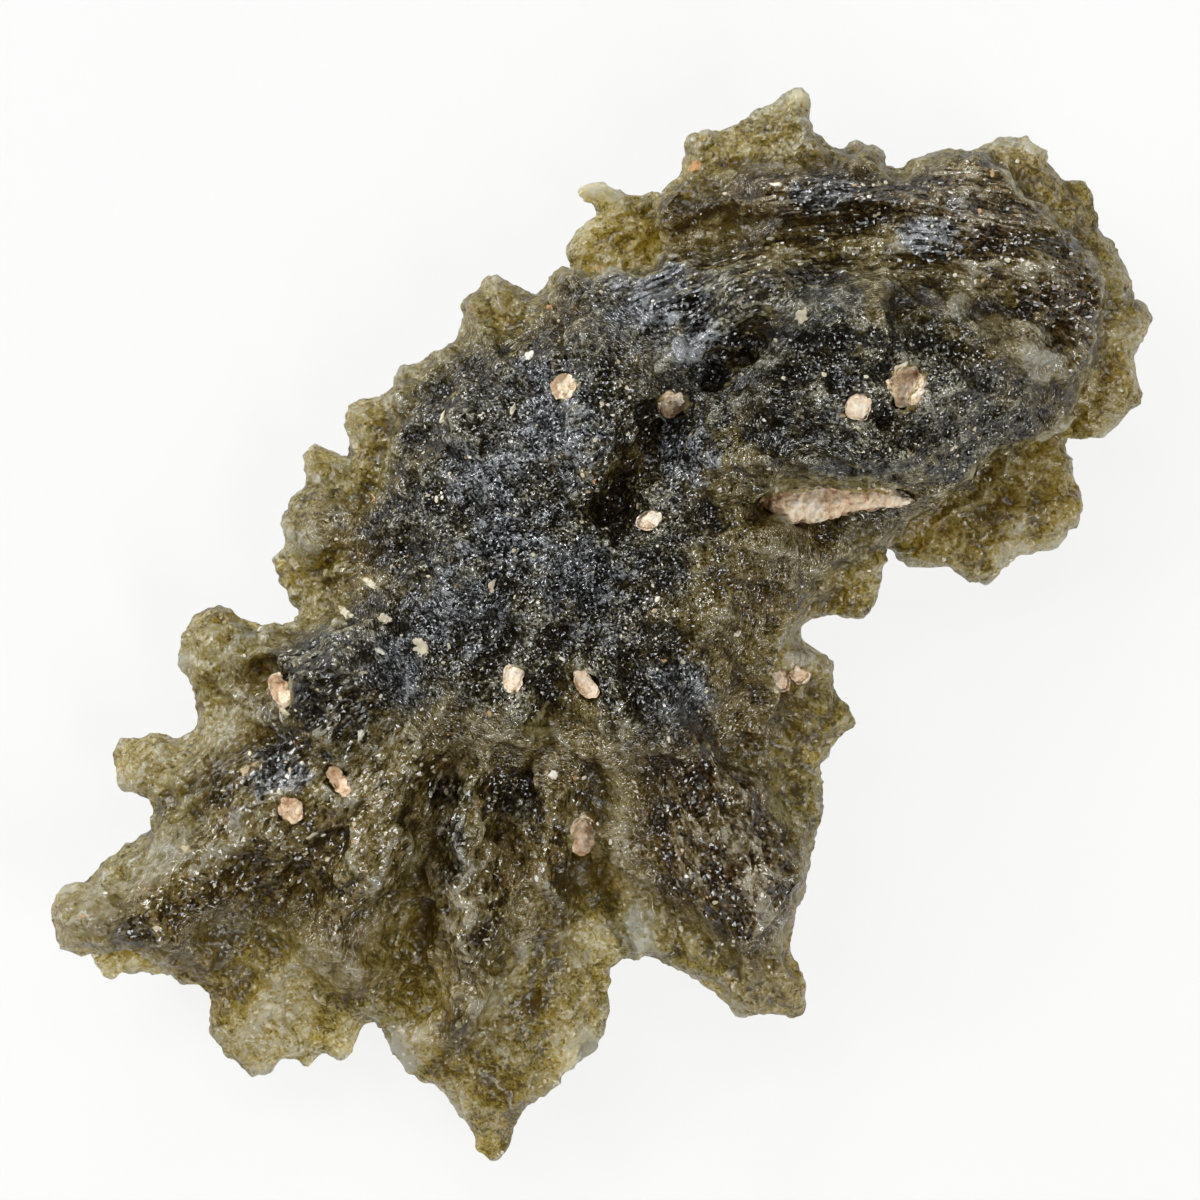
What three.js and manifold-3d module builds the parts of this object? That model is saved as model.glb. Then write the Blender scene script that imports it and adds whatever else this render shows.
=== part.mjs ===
// A moldavite: one flat, leaf-shaped piece of olive-green natural glass, deeply etched into lobes,
// flutes and pits, with pink clay still packed in a crack and in some of the pits.
//
// Every place is first given on the stone's plan: millimetres, seen from above, x to the right and
// y up. The plan is turned at the end so that the stone's long axis lies along the part's +X.
// The stone rests on small worn feet at z = 0.
import * as THREE from "three";
import { ImprovedNoise } from "three/addons/math/ImprovedNoise.js";
import { mergeVertices } from "three/addons/utils/BufferGeometryUtils.js";
import Module from "manifold-3d";

const wasm = await Module();
wasm.setup();

// ---------------------------------------------------------------- driving dimensions, millimetres

const LONG_AXIS_ON_PLAN = 46; // degrees from the plan's x to the stone's long axis
const ORIGIN_ON_PLAN = [1.36, -1.05]; // the plan point over which the part's origin lies
const POINT_SPACING = 0.74; // between surface points inside the outline
const RIM_SPACING = 0.62; // between points along the outline
const RIM_INSET = 0.36; // from the outline to the first row of points inside it
const RIM_WALL = 0.16; // half the height of the blunt edge itself
const TOP_SHOULDER = 1.8; // how far in from the edge the upper face rounds over
const UNDER_SHOULDER = 1.1; // the same for the underside
const RIM_LEVEL = 0.45; // where the edge lies between underside (0) and upper face (1)
const FLUTE_DEPTH = 1.1; // of the flow streaks, for a noise of 1
const CLAY_CLEARANCE = 0.14; // between a lump of clay and the pit that it sits in
const LEAST_THICKNESS = 0.75; // of the glass anywhere inside the shoulders
const PLAN_REACH = 19; // half the side of a square that holds the whole plan

// ---------------------------------------------------------------- outline of the main mass

const BODY_OUTLINE = [
  // left edge and top of the head
  [1.6, 10.0], [1.9, 10.7], [1.6, 11.2], [1.5, 11.9], [2.0, 12.35], [2.55, 12.9], [2.55, 13.7],
  [2.9, 14.1], [3.45, 13.9], [4.0, 14.25], [5.2, 14.7], [6.0, 14.9], [6.25, 14.4], [6.5, 13.8],
  [7.15, 13.35], [7.7, 13.65], [8.2, 13.5], [8.5, 12.9], [8.95, 12.8], [9.3, 13.05],
  [9.95, 13.35], [10.6, 13.3], [11.3, 13.5],
  // the rounded right shoulder of the head, inside the lower ledges
  [12.1, 12.8], [13.0, 11.9], [13.9, 11.1], [14.7, 10.2], [15.2, 9.4], [15.0, 8.6], [14.9, 7.6],
  [14.6, 6.7], [14.1, 5.9], [13.9, 5.1], [13.2, 4.8], [12.3, 4.6], [11.4, 4.0], [10.6, 3.2],
  [9.8, 2.6], [9.0, 2.1], [8.55, 1.5],
  // right side, going down
  [8.4, 0.9], [8.4, 0.0], [8.1, -0.45], [7.0, -0.5], [6.35, -0.6], [6.0, -0.95], [6.4, -1.4],
  [6.9, -2.0], [7.1, -2.8], [7.45, -3.3], [7.55, -3.8], [7.1, -4.15], [6.55, -5.0],
  [6.6, -5.5], [6.9, -5.95], [6.5, -6.6], [6.4, -7.4], [6.1, -8.8], [5.9, -9.5], [5.7, -10.2],
  [5.85, -11.0], [6.25, -11.45], [6.4, -11.95],
  // lower right lobe, the bay beside it and the long pointed lobe
  [5.35, -12.4], [4.1, -12.45], [3.5, -11.85], [3.0, -11.25], [2.0, -11.0], [1.5, -10.65],
  [0.9, -10.65], [0.35, -10.85], [0.2, -11.4], [0.35, -12.3], [0.05, -12.95], [-0.05, -13.35],
  [-0.7, -14.0], [-1.4, -14.6], [-2.0, -15.1], [-2.3, -15.45], [-2.7, -15.5], [-2.6, -16.1],
  [-2.95, -16.7], [-3.4, -17.0], [-3.7, -16.6], [-4.0, -15.8], [-4.5, -15.1], [-5.1, -14.55],
  [-5.9, -13.95], [-6.35, -13.25], [-6.65, -12.65], [-7.0, -12.6], [-7.5, -13.3],
  // bottom left lobes
  [-7.95, -13.95], [-8.4, -13.65], [-8.6, -14.0], [-9.0, -14.25], [-9.3, -13.65], [-9.7, -13.95],
  [-10.2, -14.3], [-10.7, -14.1], [-11.3, -13.45], [-11.65, -13.2], [-11.7, -12.2],
  [-12.0, -11.6], [-12.7, -11.25], [-13.5, -10.75], [-14.3, -10.5], [-15.0, -10.5],
  [-15.7, -10.65], [-16.15, -10.05], [-16.4, -9.3], [-16.15, -8.65], [-15.4, -8.35],
  [-15.0, -7.85], [-14.2, -7.4], [-13.5, -6.85], [-13.4, -6.3], [-13.7, -5.8], [-14.3, -5.75],
  [-14.45, -5.2], [-14.4, -4.35], [-13.8, -4.05], [-12.7, -4.1], [-12.25, -3.8], [-12.2, -2.9],
  [-12.55, -1.9], [-12.45, -1.0], [-12.15, -0.5], [-11.7, -0.1], [-10.8, -0.45], [-10.1, -0.7],
  [-9.3, -0.75],
  // left side, going up
  [-9.05, -0.4], [-9.5, 0.3], [-9.85, 1.0], [-9.8, 1.5], [-9.45, 1.5], [-9.35, 1.8],
  [-9.6, 2.3], [-9.2, 2.7], [-8.8, 3.5], [-9.0, 4.1], [-8.65, 4.75], [-8.25, 4.65],
  [-7.85, 4.25], [-7.0, 4.3], [-6.2, 4.9], [-6.35, 6.1], [-6.1, 6.7], [-6.0, 7.1], [-5.3, 7.1],
  [-5.05, 7.5], [-4.1, 8.0], [-4.1, 9.0], [-3.4, 9.5], [-2.95, 9.75], [-2.4, 9.3],
  [-1.85, 8.95], [-1.55, 9.4], [-1.4, 9.85], [-0.8, 10.0], [-0.3, 9.7], [0.4, 9.9], [1.0, 9.8],
];

// The thin ledges that stand out lower down, under the main mass: outline, and the height of the
// upper face and the underside.
const LEDGES = {
  upper_left: {
    top: 3.2, under: 1.7,
    outline: [
      [-1.0, 10.0], [-0.8, 10.8], [-0.35, 11.2], [-0.1, 11.5], [-0.35, 11.95], [-0.8, 12.2],
      [-0.5, 12.5], [-0.1, 12.55], [0.6, 12.3], [1.1, 12.15], [2.4, 12.0], [3.0, 10.5],
      [2.0, 8.8], [0.0, 8.6],
    ],
  },
  upper_right: {
    top: 4.8, under: 2.7,
    outline: [
      [11.0, 13.2], [11.45, 13.65], [11.8, 13.85], [12.5, 13.7], [13.15, 13.6], [13.4, 13.05],
      [14.0, 12.6], [14.6, 12.2], [14.85, 11.4], [15.3, 10.55], [15.75, 9.9], [16.1, 9.2],
      [15.6, 8.4], [14.0, 8.6], [12.0, 11.0],
    ],
  },
  right: {
    top: 4.3, under: 1.8,
    outline: [
      [15.7, 9.1], [16.3, 8.95], [16.6, 8.5], [16.4, 8.0], [16.05, 7.6], [16.15, 7.0],
      [16.3, 6.4], [16.4, 6.0], [15.85, 5.6], [15.4, 5.15], [14.9, 4.95], [14.1, 4.9],
      [12.8, 5.6], [13.4, 8.4],
    ],
  },
  lower_right: {
    top: 3.7, under: 1.3,
    outline: [
      [14.1, 5.0], [14.05, 4.2], [14.4, 3.5], [14.5, 3.0], [14.65, 2.65], [14.1, 2.2],
      [13.9, 1.85], [13.2, 1.5], [12.6, 1.3], [12.1, 0.8], [11.7, 0.6], [11.0, 0.65],
      [10.6, 0.95], [9.7, 0.95], [9.2, 1.2], [8.8, 1.6], [8.0, 2.2], [9.6, 4.4], [12.8, 6.0],
    ],
  },
  left_knob: {
    top: 4.2, under: 1.4,
    outline: [
      [-7.6, 3.6], [-7.6, 4.6], [-7.4, 5.7], [-7.0, 6.1], [-6.6, 6.2], [-6.1, 6.0],
      [-5.0, 5.2], [-5.6, 3.6],
    ],
  },
  lower_left: {
    top: 2.6, under: 1.3,
    outline: [
      [-15.5, -10.3], [-15.3, -10.8], [-14.85, -11.3], [-14.3, -11.15], [-13.7, -11.2],
      [-13.3, -11.4], [-12.7, -11.3], [-11.8, -11.6], [-11.4, -10.2], [-13.4, -9.4],
    ],
  },
};

// ---------------------------------------------------------------- heights over the plan

// Spot heights of the main mass: [x, y, upper face, underside].
const SPOTS = [
  // head: flat top, thinner towards its upper left corner
  [4.5, 13.6, 5.6, 3.0], [3.0, 12.3, 5.6, 2.6], [6.3, 12.4, 6.4, 2.4], [9.0, 11.8, 7.6, 2.0],
  [11.5, 12.0, 7.7, 2.0], [3.2, 10.6, 5.4, 2.4], [6.5, 10.5, 6.4, 2.1], [9.5, 10.0, 7.9, 1.4],
  [13.2, 9.6, 7.8, 1.7], [14.4, 8.6, 7.0, 2.2], [4.6, 8.3, 8.6, 1.2], [7.2, 8.2, 9.3, 1.0],
  [10.2, 8.0, 8.9, 1.1], [12.6, 7.2, 7.9, 1.6], [4.5, 5.9, 8.7, 1.0], [7.4, 5.8, 9.6, 0.8],
  [10.3, 5.6, 8.9, 1.2], [13.2, 5.7, 6.6, 1.9], [4.6, 4.2, 8.3, 1.0], [6.2, 4.4, 9.0, 1.0],
  [7.8, 4.4, 9.0, 1.1], [9.4, 4.4, 8.5, 1.3],
  [11.6, 4.6, 6.6, 1.8],
  // shelf below the head's ledge
  [5.3, 2.9, 6.5, 1.2], [6.6, 3.0, 6.4, 1.2], [8.0, 3.0, 6.2, 1.3], [9.2, 2.9, 5.9, 1.8],
  [6.6, 1.9, 5.2, 1.9], [7.7, 1.2, 4.4, 2.2], [7.3, 0.3, 4.0, 2.1], [4.4, 2.0, 6.6, 1.3],
  // bluish middle
  [2.6, 8.9, 7.7, 1.3], [0.3, 8.8, 7.1, 1.6], [2.3, 6.7, 8.0, 1.0], [0.2, 6.4, 7.5, 1.0],
  [1.3, 3.9, 7.2, 0.9], [-0.4, 2.0, 7.0, 0.9], [3.3, 0.2, 6.6, 1.1], [-1.2, -1.0, 6.9, 0.9],
  [2.5, -2.8, 6.1, 1.2],
  // left flank
  [-3.0, 8.2, 4.9, 2.2], [-2.0, 7.0, 6.3, 1.5], [-4.9, 6.6, 4.7, 2.0], [-3.4, 4.6, 6.9, 1.1],
  [-5.6, 4.0, 6.2, 1.5], [-7.6, 3.0, 4.6, 1.9], [-8.6, 3.9, 4.3, 2.3], [-4.0, 1.2, 7.1, 0.9],
  [-6.6, 1.0, 5.4, 1.5], [-8.9, 0.9, 3.4, 1.6], [-8.8, 2.1, 4.6, 2.0], [-8.6, -0.2, 3.2, 1.6],
  [-4.8, -1.8, 6.6, 1.0],
  // black boss and the lobes left of it
  [-7.6, -2.3, 6.9, 1.1], [-7.3, -1.0, 6.3, 1.2], [-8.9, -1.5, 6.0, 1.3], [-8.9, -3.2, 6.0, 1.3],
  [-7.5, -3.9, 6.2, 1.2], [-6.2, -3.5, 6.2, 1.2], [-10.4, -2.5, 4.0, 2.0], [-11.4, -1.7, 4.0, 2.3],
  [-11.6, -0.8, 4.2, 2.5],
  [-10.9, -3.6, 3.9, 1.9], [-13.8, -4.9, 3.6, 1.9], [-12.4, -5.3, 4.1, 2.0],
  [-10.4, -5.6, 5.6, 1.3], [-11.8, -7.0, 5.4, 1.4], [-8.6, -6.4, 5.9, 1.2],
  // left spur
  [-15.4, -9.2, 5.2, 2.6], [-13.6, -9.5, 5.2, 2.1], [-14.2, -8.3, 4.6, 2.2],
  [-11.9, -9.2, 5.0, 1.8], [-12.0, -10.8, 4.1, 1.9],
  // fan: thin troughs between thick crests
  [-9.6, -10.2, 3.8, 1.6], [-10.2, -12.9, 3.0, 1.4], [-8.3, -12.4, 3.1, 1.5],
  [-8.0, -9.6, 4.3, 1.6], [-6.6, -7.0, 5.2, 1.4], [-5.9, -10.4, 3.8, 1.6],
  [-5.4, -12.8, 3.2, 1.7], [-3.9, -6.0, 5.5, 1.8], [-3.7, -9.6, 5.4, 1.3],
  [-3.6, -13.0, 4.1, 1.5], [-3.5, -15.6, 3.0, 1.6], [-1.6, -4.4, 5.7, 1.8],
  [-1.4, -8.0, 4.6, 1.9], [-1.2, -11.6, 3.7, 1.9], [-1.6, -13.6, 3.2, 1.8],
  [0.4, -9.3, 3.9, 2.0], [1.6, -6.0, 5.3, 2.0], [3.3, -8.0, 5.7, 1.8], [2.2, -10.0, 4.2, 1.8],
  [5.2, -8.3, 5.3, 1.9], [4.6, -11.2, 4.4, 1.7],
  // right side
  [4.9, -5.2, 5.0, 1.9], [5.9, -5.6, 4.1, 2.0], [4.4, -2.2, 5.1, 1.6], [6.4, -3.5, 3.8, 1.9],
  [5.9, -1.8, 4.4, 1.9], [5.0, 0.6, 5.7, 1.5],
];

// Crests and furrows on the upper face: height (down is negative), half-width, and the line.
const UPPER_LINES = [
  // crests
  [0.7, 0.55, [[2.9, 5.0], [3.2, 7.4], [4.1, 8.7], [5.8, 9.8], [7.1, 9.3], [9.2, 9.0]]],
  [0.6, 0.5, [[-1.0, 9.6], [0.5, 9.5], [2.2, 9.7], [3.2, 9.8], [4.3, 9.2]]],
  [0.5, 0.5, [[11.2, 13.2], [12.2, 12.4], [13.2, 11.4], [14.2, 10.4], [14.9, 9.3], [14.7, 8.0]]],
  [0.5, 0.4, [[4.6, 4.0], [6.5, 3.95], [8.5, 3.95], [9.7, 3.8]]],
  [0.5, 0.5, [[9.8, 3.2], [10.9, 4.0], [12.2, 4.9], [13.3, 5.4], [14.1, 6.4], [14.6, 7.5]]],
  [0.4, 0.4, [[-4.1, 6.0], [-4.5, 4.5], [-4.6, 2.8]]],
  [0.45, 0.4, [[-6.1, 6.3], [-5.9, 5.4], [-6.3, 4.1], [-6.0, 2.6]]],
  [0.6, 0.7, [[-5.0, -3.2], [-6.0, -5.8], [-7.0, -8.4], [-8.6, -10.9]]],
  [0.9, 0.7, [[-3.4, -2.8], [-4.0, -6.5], [-4.2, -10.5], [-4.1, -13.0], [-3.7, -15.6]]],
  [0.55, 0.45, [[-1.9, -5.0], [-2.2, -8.0], [-2.3, -10.4], [-3.0, -11.6], [-4.0, -12.4]]],
  [0.9, 0.9, [[1.4, -4.0], [2.7, -6.4], [4.1, -8.8], [5.1, -11.6]]],
  [0.45, 0.45, [[2.4, -4.4], [4.2, -5.8], [5.4, -7.2]]],
  [0.8, 0.5, [[-15.5, -9.9], [-14.0, -9.9], [-12.6, -10.5], [-11.3, -10.9]]],
  [0.5, 0.6, [[-13.9, -4.9], [-12.2, -5.5], [-10.2, -6.2]]],
  [0.4, 0.4, [[-6.2, -12.6], [-5.0, -13.3], [-4.2, -14.4], [-3.6, -15.6]]],
  [0.4, 0.5, [[4.6, 12.0], [7.5, 11.8], [10.6, 11.4], [13.0, 10.3]]],
  // furrows
  [-0.6, 0.35, [[-9.6, -4.2], [-10.0, -2.8], [-9.8, -1.4], [-9.0, -0.7]]],
  [-1.3, 0.65, [[4.1, 7.3], [2.6, 5.8], [1.3, 4.4], [0.5, 2.8]]],
  [-0.9, 0.55, [[0.5, 2.8], [-0.7, -0.4], [-1.6, -3.4], [-2.9, -7.0], [-3.2, -10.4]]],
  [-0.9, 0.4, [[-3.4, -11.9], [-3.7, -13.0], [-3.4, -14.2]]],
  [-0.8, 0.6, [[1.9, 10.3], [3.6, 10.3], [5.2, 10.5], [7.4, 9.9], [9.8, 9.4], [12.0, 8.5]]],
  [-0.4, 0.4, [[7.0, 11.0], [9.6, 10.7], [12.2, 9.6], [13.8, 8.8]]],
  [-0.5, 0.45, [[8.6, 8.2], [10.4, 7.5], [12.0, 6.9]]],
  [-0.5, 0.5, [[4.9, 2.9], [7.0, 2.95], [9.3, 3.0]]],
  [-0.6, 0.8, [[-4.9, -6.4], [-5.3, -9.4], [-5.6, -12.0]]],
  [-0.5, 0.6, [[-7.6, -6.8], [-9.0, -9.2], [-10.4, -11.0]]],
  [-0.5, 0.5, [[-0.4, -5.4], [-0.6, -8.6], [-0.6, -11.8]]],
  [-0.5, 0.45, [[3.3, -3.6], [4.0, -4.6], [5.9, -5.0]]],
  [-0.5, 0.4, [[-12.0, -2.7], [-11.4, -1.8], [-10.6, -1.0]]],
  [-0.6, 0.45, [[-7.2, 4.0], [-7.0, 2.4], [-7.8, 1.2]]],
  [-0.6, 0.5, [[-9.9, -4.6], [-8.0, -4.8], [-6.4, -4.7]]],
  [-0.5, 0.45, [[-2.7, 8.4], [-1.6, 8.2], [-0.6, 7.0]]],
];

// Bosses and hollows on the upper face: [x, y, radius, height].
const UPPER_BUMPS = [
  [-7.6, -2.3, 1.7, 0.5], [12.8, 7.1, 0.6, 0.7], [5.6, 9.2, 0.8, 0.3], [-0.9, 9.4, 0.5, 0.5],
  [7.7, 13.1, 0.5, 0.5], [9.3, -0.9, 0.6, 0.3], [-8.6, 4.2, 0.45, 0.6], [-9.1, 2.2, 0.5, 0.5],
  [16.1, 8.4, 0.5, 0.7], [-5.7, 6.7, 0.5, 0.5], [7.0, -3.6, 0.7, 0.4], [-14.0, -5.0, 0.6, 0.5],
  [-11.9, -0.7, 0.7, 0.5], [-15.8, -9.4, 0.7, 0.5], [-10.1, -13.4, 0.8, 0.4],
  [12.9, 5.9, 0.75, -1.2], [13.3, 5.2, 0.5, -0.8], [13.6, 7.9, 0.4, -0.6],
  [4.2, 13.7, 0.35, -0.6], [3.3, 13.3, 0.3, -0.4], [-5.4, -10.2, 0.9, -0.4],
  [0.7, -9.2, 1.0, -0.5], [2.1, 7.0, 0.9, 0.35], [0.9, 8.0, 0.8, 0.3], [-1.6, 4.2, 0.9, 0.3],
  [11.4, 2.2, 1.4, -0.5], [15.2, 6.8, 0.9, -0.4], [7.2, 0.3, 0.9, -0.4], [1.0, 11.0, 0.9, -0.3],
];

// Worn feet on the underside: [x, y, radius of the bump]. They are ground flat at z = 0.
const FEET = [
  [9.4, 7.6, 2.0], [-9.4, -6.8, 1.9], [3.4, -8.0, 1.9], [-3.4, 5.2, 1.8],
];
const FOOT_REACH = 2.1; // how far a foot's bump would stand below the underside if it weren't worn

// Crests and furrows on the underside.
const UNDER_LINES = [
  [0.8, 0.8, [[12.0, 12.0], [7.0, 10.5], [2.0, 8.0], [-2.0, 7.0]]],
  [0.9, 0.9, [[12.8, 6.0], [8.6, 4.4], [4.4, 4.8], [1.0, 2.0], [-1.4, -3.0], [-1.0, -8.0]]],
  [0.8, 0.8, [[-8.0, 2.4], [-4.6, 1.6], [-1.4, 3.4]]],
  [0.8, 0.8, [[-13.0, -8.8], [-8.8, -9.0], [-5.6, -6.0], [-3.4, -2.4]]],
  [0.7, 0.7, [[-10.8, -3.0], [-7.4, -2.8], [-5.0, -0.4]]],
  [0.7, 0.7, [[-6.4, -11.4], [-4.2, -9.4], [-2.6, -5.6]]],
  [0.8, 0.8, [[5.8, -3.4], [3.4, -3.8], [1.2, -1.2]]],
  [0.7, 0.7, [[7.6, 0.4], [5.4, 1.4], [3.6, 1.0]]],
];

// Small etched cups, scattered evenly over each face.
const CUPS = {
  spacing: 1.75,
  smallest: 0.4, // radius
  largest: 0.8, // radius
  depth: 0.55, // as a share of the radius
};

// Clay left in the crack under the head's ledge: its line, width and thickness.
const CLAY_SEAM = {
  line: [[4.8, 2.95], [6.0, 2.85], [7.1, 2.95], [8.2, 3.1], [9.35, 2.9]],
  halfWidths: [0.4, 0.56, 0.42, 0.33, 0.15],
  halfHeight: 0.42,
  rise: 0.1, // of its middle above the floor of the crack
  sides: 8,
  steps: 14,
};

// Lumps of clay packed in pits of the upper face: [x, y, half-length, half-width, turn in degrees].
const CLAY_PLUGS = {
  head: [8.97, 6.3, 0.64, 0.52, 95],
  head_small: [7.56, 5.64, 0.36, 0.32, 0],
  ledge: [2.12, 5.8, 0.4, 0.34, 10],
  flank: [-1.09, 6.28, 0.36, 0.3, 60],
  ridge: [1.49, 2.36, 0.34, 0.22, 20],
  middle_left: [-2.6, -2.3, 0.42, 0.32, 80],
  middle_right: [-0.45, -2.5, 0.48, 0.25, -50],
  fan: [-0.55, -7.0, 0.6, 0.36, 88],
  spur_upper: [-7.72, -5.4, 0.48, 0.24, -55],
  spur_lower: [-9.16, -6.25, 0.4, 0.32, -40],
  boss: [-9.5, -2.7, 0.5, 0.28, -65],
  right_inner: [5.4, -2.4, 0.34, 0.28, -60],
  right_outer: [5.95, -2.25, 0.3, 0.27, 0],
};
const PLUG_DEPTH = 0.3; // half the thickness of a lump
const PLUG_SINK = 0.16; // how far a lump's centre lies below the glass round it
const CLAY_ROUGHNESS = 0.22; // of a lump's skin, as a share of its size
const CLAY_GRAIN = 1.7; // noise cells in half a lump

// ---------------------------------------------------------------- small helpers

const noise = new ImprovedNoise();
const CELL = 1.9; // millimetres per noise cell of the coarsest relief
const OCTAVES = 3;
const RELIEF_GAIN = 1.4; // brings the sum of the octaves to about -1 to 1

// Rough relief of about -1 to 1, in three octaves.
function relief(x, y, layer) {
  let sum = 0;
  for (let octave = 0, size = CELL, share = 0.6; octave < OCTAVES; octave++, size /= 2, share /= 2)
    sum += share * noise.noise(x / size + 7.3, y / size + 2.1, layer + octave * 5.7);
  return sum * RELIEF_GAIN;
}

// A fixed pseudo-random number from 0 to 1 for a whole-number seed.
function chance(seed) {
  const s = Math.sin(seed * 127.1 + 311.7) * 43758.5453;
  return s - Math.floor(s);
}

function clamp(v, low, high) {
  return Math.min(Math.max(v, low), high);
}

function smooth(t) {
  const s = clamp(t, 0, 1);
  return s * s * (3 - 2 * s);
}

function distanceToSegment(x, y, [ax, ay], [bx, by]) {
  const dx = bx - ax;
  const dy = by - ay;
  const t = clamp(((x - ax) * dx + (y - ay) * dy) / (dx * dx + dy * dy), 0, 1);
  return Math.hypot(x - ax - t * dx, y - ay - t * dy);
}

function distanceToLine(x, y, line, closed = false) {
  let least = Infinity;
  const last = closed ? line.length : line.length - 1;
  for (let i = 0; i < last; i++)
    least = Math.min(least, distanceToSegment(x, y, line[i], line[(i + 1) % line.length]));
  return least;
}

function inside(x, y, ring) {
  let odd = false;
  for (let i = 0, j = ring.length - 1; i < ring.length; j = i++) {
    const [xi, yi] = ring[i];
    const [xj, yj] = ring[j];
    if (yi > y !== yj > y && x < ((xj - xi) * (y - yi)) / (yj - yi) + xi) odd = !odd;
  }
  return odd;
}

// Points at even steps along a smooth closed curve through the outline's corners.
function sampledRing(outline) {
  const corners = outline.map(([x, y]) => new THREE.Vector3(x, y, 0));
  const curve = new THREE.CatmullRomCurve3(corners, true, "centripetal");
  const count = Math.round(curve.getLength() / RIM_SPACING);
  return curve.getSpacedPoints(count).slice(0, count).map((p) => [p.x, p.y]);
}

// ---------------------------------------------------------------- relief of both faces

const LINE_RAGGEDNESS = 0.9; // how much the crests and furrows vary along their length
const RAGGED_CELL = 1.3; // millimetres per noise cell of that
const FADE = 3; // a crest or a bump ends at this many of its own widths

function linesHeight(lines, x, y) {
  let sum = 0;
  for (const [height, width, line] of lines) {
    const d = distanceToLine(x, y, line) / width;
    if (d < FADE) sum += height * Math.exp(-d * d);
  }
  return sum * (1 + LINE_RAGGEDNESS * noise.noise(x / RAGGED_CELL, y / RAGGED_CELL, 77));
}

function bumpsHeight(bumps, x, y) {
  let sum = 0;
  for (const [bx, by, radius, height] of bumps) {
    const d = Math.hypot(x - bx, y - by) / radius;
    if (d < FADE) sum += height * Math.exp(-d * d);
  }
  return sum;
}

// Two sets of flow streaks, each a noise drawn out along the flow: straight ones that fan out from
// the middle of the stone, and curved ones that run round the mound of the head.
const FAN_POLE = [-0.8, 2.2];
const STREAKS_PER_RADIAN = 7.5; // noise cells across the fan
const STREAK_LENGTH = 4.5; // millimetres along the fan
const HEAD_CENTRE = [8.6, 4.4];
const HEAD_FLATTENING = 0.6; // the rings round the head are this much flatter along x
const BAND_PITCH = 1.05; // millimetres between the bands round the head
const BANDS_PER_RADIAN = 2.2; // noise cells along a band
const FAN_CALM = 2; // millimetres round the pole without streaks
const FAN_GROWTH = 4; // millimetres over which they grow to their full depth

// 0 on the fanned end of the stone, growing to 1 on its head.
function headShare(x, y) {
  return smooth((x * 0.6 + y - 6.5) / 3);
}

function flutes(x, y) {
  const fanRadius = Math.hypot(x - FAN_POLE[0], y - FAN_POLE[1]);
  const fanTurn = Math.atan2(y - FAN_POLE[1], x - FAN_POLE[0]);
  const fan = noise.noise(fanTurn * STREAKS_PER_RADIAN, fanRadius / STREAK_LENGTH, 3.3)
    * smooth((fanRadius - FAN_CALM) / FAN_GROWTH);
  const headRadius = Math.hypot((x - HEAD_CENTRE[0]) * HEAD_FLATTENING, y - HEAD_CENTRE[1]);
  const headTurn = Math.atan2(y - HEAD_CENTRE[1], (x - HEAD_CENTRE[0]) * HEAD_FLATTENING);
  const head = noise.noise(headRadius / BAND_PITCH, headTurn * BANDS_PER_RADIAN, 6.1);
  const onHead = headShare(x, y);
  return FLUTE_DEPTH * (fan * (1 - onHead) + head * onHead);
}

// Height of the spots at a place, as an average that leans hard on the nearest ones.
const SPOT_BLEND = 0.55; // millimetres squared: larger gives softer slopes

function spotHeights(x, y) {
  let weights = 0;
  let top = 0;
  let under = 0;
  for (const [sx, sy, spotTop, spotUnder] of SPOTS) {
    const d2 = (x - sx) ** 2 + (y - sy) ** 2;
    const w = 1 / (d2 + SPOT_BLEND) ** 2;
    weights += w;
    top += w * spotTop;
    under += w * spotUnder;
  }
  return [top / weights, under / weights];
}

// Cups: one in each square of a grid, moved about inside it.
function scatteredCups(seed) {
  const cups = [];
  for (let x = -PLAN_REACH; x < PLAN_REACH; x += CUPS.spacing)
    for (let y = -PLAN_REACH; y < PLAN_REACH; y += CUPS.spacing) {
      seed += 3;
      const radius = CUPS.smallest + (CUPS.largest - CUPS.smallest) * chance(seed + 2) ** 2;
      const shift = (n) => chance(seed + n) * CUPS.spacing;
      cups.push([x + shift(0), y + shift(1), radius, -CUPS.depth * radius]);
    }
  return cups;
}

const upperCups = scatteredCups(11);
const underCups = scatteredCups(5011);
const UPPER_ROUGHNESS = 0.45; // millimetres, of the noise on the upper face
const UNDER_ROUGHNESS = 0.7;
const UNDER_FLUTES = 0.7; // depth of the underside's streaks against the upper face's
const UNDER_SHIFT = [3, -2]; // millimetres by which they lie elsewhere

function upperRelief(x, y) {
  return linesHeight(UPPER_LINES, x, y) + bumpsHeight(UPPER_BUMPS, x, y)
    + bumpsHeight(upperCups, x, y) + flutes(x, y) + UPPER_ROUGHNESS * relief(x, y, 0);
}

function underRelief(x, y) {
  const streaks = UNDER_FLUTES * flutes(x + UNDER_SHIFT[0], y + UNDER_SHIFT[1]);
  return -linesHeight(UNDER_LINES, x, y) - bumpsHeight(underCups, x, y)
    - streaks + UNDER_ROUGHNESS * relief(x, y, 40);
}

function feetHeight(x, y) {
  return bumpsHeight(FEET.map(([fx, fy, radius]) => [fx, fy, radius, FOOT_REACH]), x, y);
}

// How much of a face's height is left at a distance from the outline: 0 at it, 1 past the shoulder.
function shoulder(distance, width) {
  const t = clamp(distance / width, 0, 1);
  return Math.sqrt(1 - (1 - t) ** 2);
}

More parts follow.
